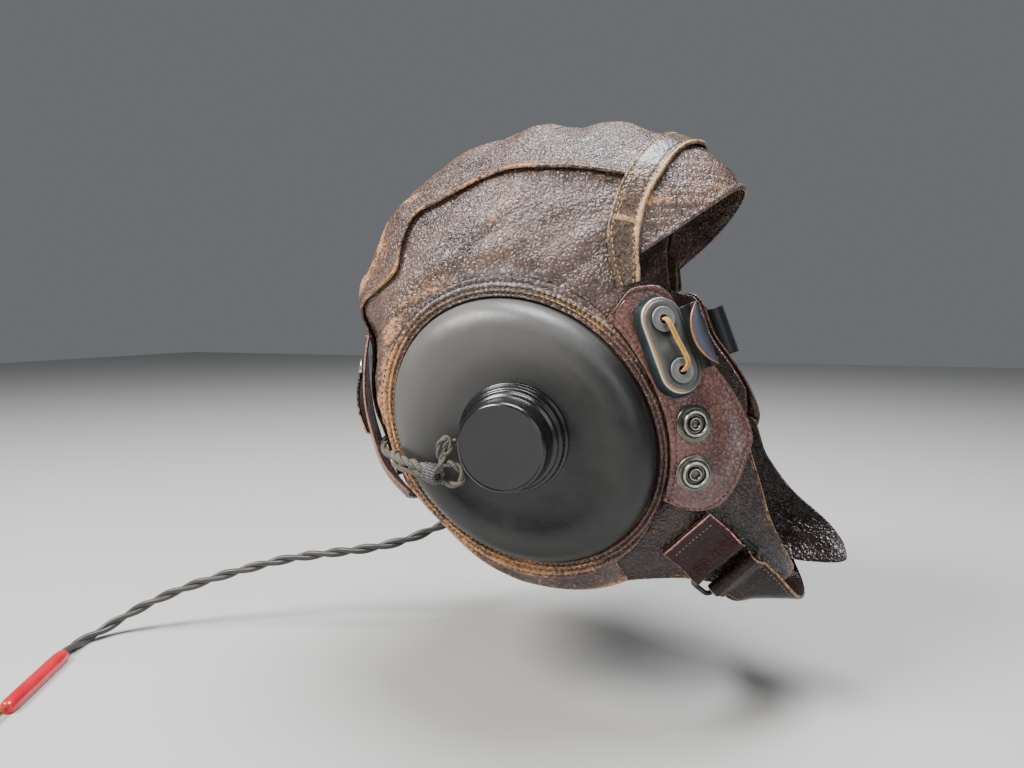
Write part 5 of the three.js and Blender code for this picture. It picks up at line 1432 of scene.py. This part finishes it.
# Receiver leads and the cord, along the same routes as in the part's source
LEAD_NAPE = (  # around, across, lift
    (224, 43, 6.8), (218.5, 38.5, 4.6), (214, 32.5, 2.7), (212, 24, 2.7), (211, 12, 2.7), (210, 0, 2.7),
    (211, -12, 2.7), (212, -24, 2.7), (214, -32.5, 2.7), (218.5, -38.5, 4.6),
)
KNOT_ROUTE = (  # forward, up and out from the cup's centre
    (-60.5, -15.8, 12.8), (-54.5, -16.6, 17.3), (-48, -17.2, 19), (-41, -17.8, 20.5), (-35.5, -15.8, 21.5),
    (-32.2, -10.5, 21.5), (-31, -4.8, 19.8), (-26.4, -2, 18),
)
LOOP_ROUTE = (
    (-36, -18.8, 20), (-31.5, -21.6, 20.5), (-26.6, -22, 20.5), (-23.3, -18.8, 20.5), (-24.4, -14.2, 21),
    (-28.4, -12, 21.3), (-32, -12.4, 21.5),
)
SECOND_ROUTE = (
    (-62, -11.5, 9), (-59.5, -11.8, 14), (-54, -12.6, 18.2), (-48, -13.4, 19.8), (-42, -14.8, 21),
    (-37, -16.5, 21),
)
UPPER_LOOP = (
    (-33.5, -10.5, 21.5), (-34.2, -5.5, 22), (-32.6, -1.2, 22.4), (-29.4, 0.2, 22), (-27.6, -2.6, 21.6),
    (-29.4, -6.6, 21.6), (-32, -8, 21.5),
)
CORD_ROUTE = (
    (-62, 72, -94), (-67, 67, -104), (-73, 57, -113), (-81, 44.5, -120.5), (-93, 32, -126.5),
    (-108, 21.5, -131.5), (-128, 13, -135.5), (-152, 6, -139), (-175, -3, -142.5), (-195, -15, -147),
    (-214, -26, -152.5), (-232, -37, -159), (-246.5, -47, -166), (-257, -56, -172.5), (-263, -66, -177.6),
    (-264.8, -77, -179.4), (-262.6, -87, -179.4), (-258.5, -96, -179.4),
)
JUNCTION_PROFILE = (  # radius, height
    (0.01, 0), (4.2, 0.1), (5.0, 0.9), (5.4, 2.2), (5.2, 3.2), (5.4, 4.4), (5.2, 5.6), (5.4, 6.8), (5.2, 8.0),
    (5.4, 9.2), (5.1, 10.6), (5.2, 12.0), (4.3, 14.6), (3.5, 16.8), (3.2, 17.9), (0.01, 18),
)
PLUG_PROFILE = (
    (0.01, 0.3), (2.7, 0.3), (3.4, 0.7), (3.9, 2.4), (4.2, 7), (4.3, 14), (4.22, 24), (4.3, 36), (4.28, 52),
    (4.15, 57.5), (3.7, 60.5), (2.9, 61.9), (0.01, 62),
)
PIN_PROFILE = (
    (0.01, 62.3), (1.0, 62.3), (1.0, 70), (0.92, 70.4), (0.92, 71.2), (1.0, 71.6), (1.0, 84), (0.5, 86),
    (0.01, 86),
)
CORD_AT = np.array(CORD_ROUTE[0], float)
CORD_WAY = unit(np.array(CORD_ROUTE[1], float) - CORD_AT)
JUNCTION_TOP = CORD_AT - CORD_WAY * 18.3


def into_junction(side):
    end = JUNCTION_TOP + unit(np.cross(CORD_WAY, EAR_AXIS)) * side * 2.25
    return [end - CORD_WAY * 7, end - CORD_WAY * 0.3]


def knot(side, word):
    centre = ear_point(-38, -17.3, 20.9)
    along = unit(ear_point(*KNOT_ROUTE[3]) - ear_point(*KNOT_ROUTE[0]))
    aside = unit(np.cross(along, EAR_AXIS))
    datas = []
    for shift, radius, tilt in ((-4.4, 3.0, 0.35), (-1.8, 3.5, 0.15), (0.9, 3.7, -0.2), (3.4, 3.2, -0.5)):
        t = np.linspace(0, 2 * np.pi, 26)
        ring = centre + along * shift + radius * (np.cos(t)[:, None] * aside + np.sin(t)[:, None] * EAR_AXIS)
        ring = ring + along * (tilt * radius * np.sin(t))[:, None]
        datas.append(tube_data(mirror(ring, side), 1.35, 8, 0.6))
    merged(f"lead_knot_{word}", datas, TIE, ())
    datas = []
    for route, size in ((LOOP_ROUTE, 1.0), (SECOND_ROUTE, 1.35), (UPPER_LOOP, 0.75)):
        line = [mirror(ear_point(*p), side) for p in route]
        datas += strands(line, 2, 0.75 * size, size, 11, 8, 0.7)
    merged(f"lead_loops_{word}", datas, BRAID, ())


def leads():
    knot_points = [ear_point(*p) for p in KNOT_ROUTE]
    nape = [surface(*place) for place in LEAD_NAPE]
    right = [*into_junction(1)[::-1], *nape[::-1], *knot_points]
    left = [mirror(p, -1) for p in knot_points][::-1] + into_junction(-1)
    for word, points in (("right", right), ("left", left)):
        merged(f"lead_strands_{word}", strands(points, 3, 0.95, 1.0, 21, 8, 0.9), BRAID,
               (f"receiver_lead_{word}",))
    lathe("junction_sleeve", JUNCTION_PROFILE, JUNCTION_TOP, CORD_WAY, 1, TIE, 48, 0.3, ("lead_junction",))


def cord_and_plug():
    way = unit(np.array([28.0, -56.0, 0.0]))
    end = np.array(CORD_ROUTE[-1], float)
    plug = lathe("plug_cover", PLUG_PROFILE, end, way, 1, PLUG_RED, 48, 0.4, ("plug_sleeve",))
    tip = lathe("plug_tip", PIN_PROFILE, end, way, 1, BRASS, 24, 0.1, ("plug_pin",))
    pair = strands(CORD_ROUTE, 2, 1.4, 1.7, 36, 12, 1.0)
    made = merged("cord_strands", pair, CORD_COVER, ("cord",))


cord_and_plug()
leads()
for side, word in SIDES:
    for make in (side_panel, ear_ring, cheek_patch, chin_curtain, ear_cup, receiver, hook_plate, hook_wall,
                 hook_bend, hook_lip, grommets, hook_lace, snaps, rear_strap, knot):
        make(side, word)
for make in (crown_panel, brow_panel, brow_band, buckle_tab, chin_strap, chin_buckle):
    make()

# Floor and light
floor_level = float(world((0, 0, -182))[2])
floor_mesh = bpy.data.meshes.new("floor")
FLOOR_HALF = 3
corners = [(x * FLOOR_HALF, y * FLOOR_HALF, floor_level) for x, y in ((-1, -1), (1, -1), (1, 1), (-1, 1))]
floor_mesh.from_pydata(corners, [], [(0, 1, 2, 3)])
floor = bpy.data.objects.new("floor", floor_mesh)
bpy.context.scene.collection.objects.link(floor)
FLOOR_COLOUR = (0.46, 0.455, 0.445)
floor_mesh.materials.append(material("floor_pale", lambda n: n.set(Base_Color=FLOOR_COLOUR, Roughness=0.75)))


def area_light(name, place, target, size, power, colour=(1, 1, 1)):
    data = bpy.data.lights.new(name, "AREA")
    data.shape = "DISK"
    data.size = size
    data.energy = power
    data.color = colour
    light = bpy.data.objects.new(name, data)
    light.location = place
    light.rotation_euler = (Vector(target) - Vector(place)).to_track_quat("-Z", "Y").to_euler()
    bpy.context.scene.collection.objects.link(light)


centre = (0.0, 0.0, -0.12)
area_light("light_upper_left", (-0.75, -0.80, 0.95), centre, 0.6, 42, (1, 0.98, 0.95))
area_light("light_top", (0.1, 0.10, 1.1), centre, 0.8, 34, (0.95, 0.97, 1))
area_light("light_right", (0.95, -0.75, 0.35), centre, 0.8, 4, (0.95, 0.97, 1))
sky = bpy.data.worlds.new("studio")
sky.use_nodes = True
sky.node_tree.nodes["Background"].inputs[0].default_value = (0.75, 0.78, 0.82, 1)
sky.node_tree.nodes["Background"].inputs[1].default_value = 0.2
bpy.context.scene.world = sky
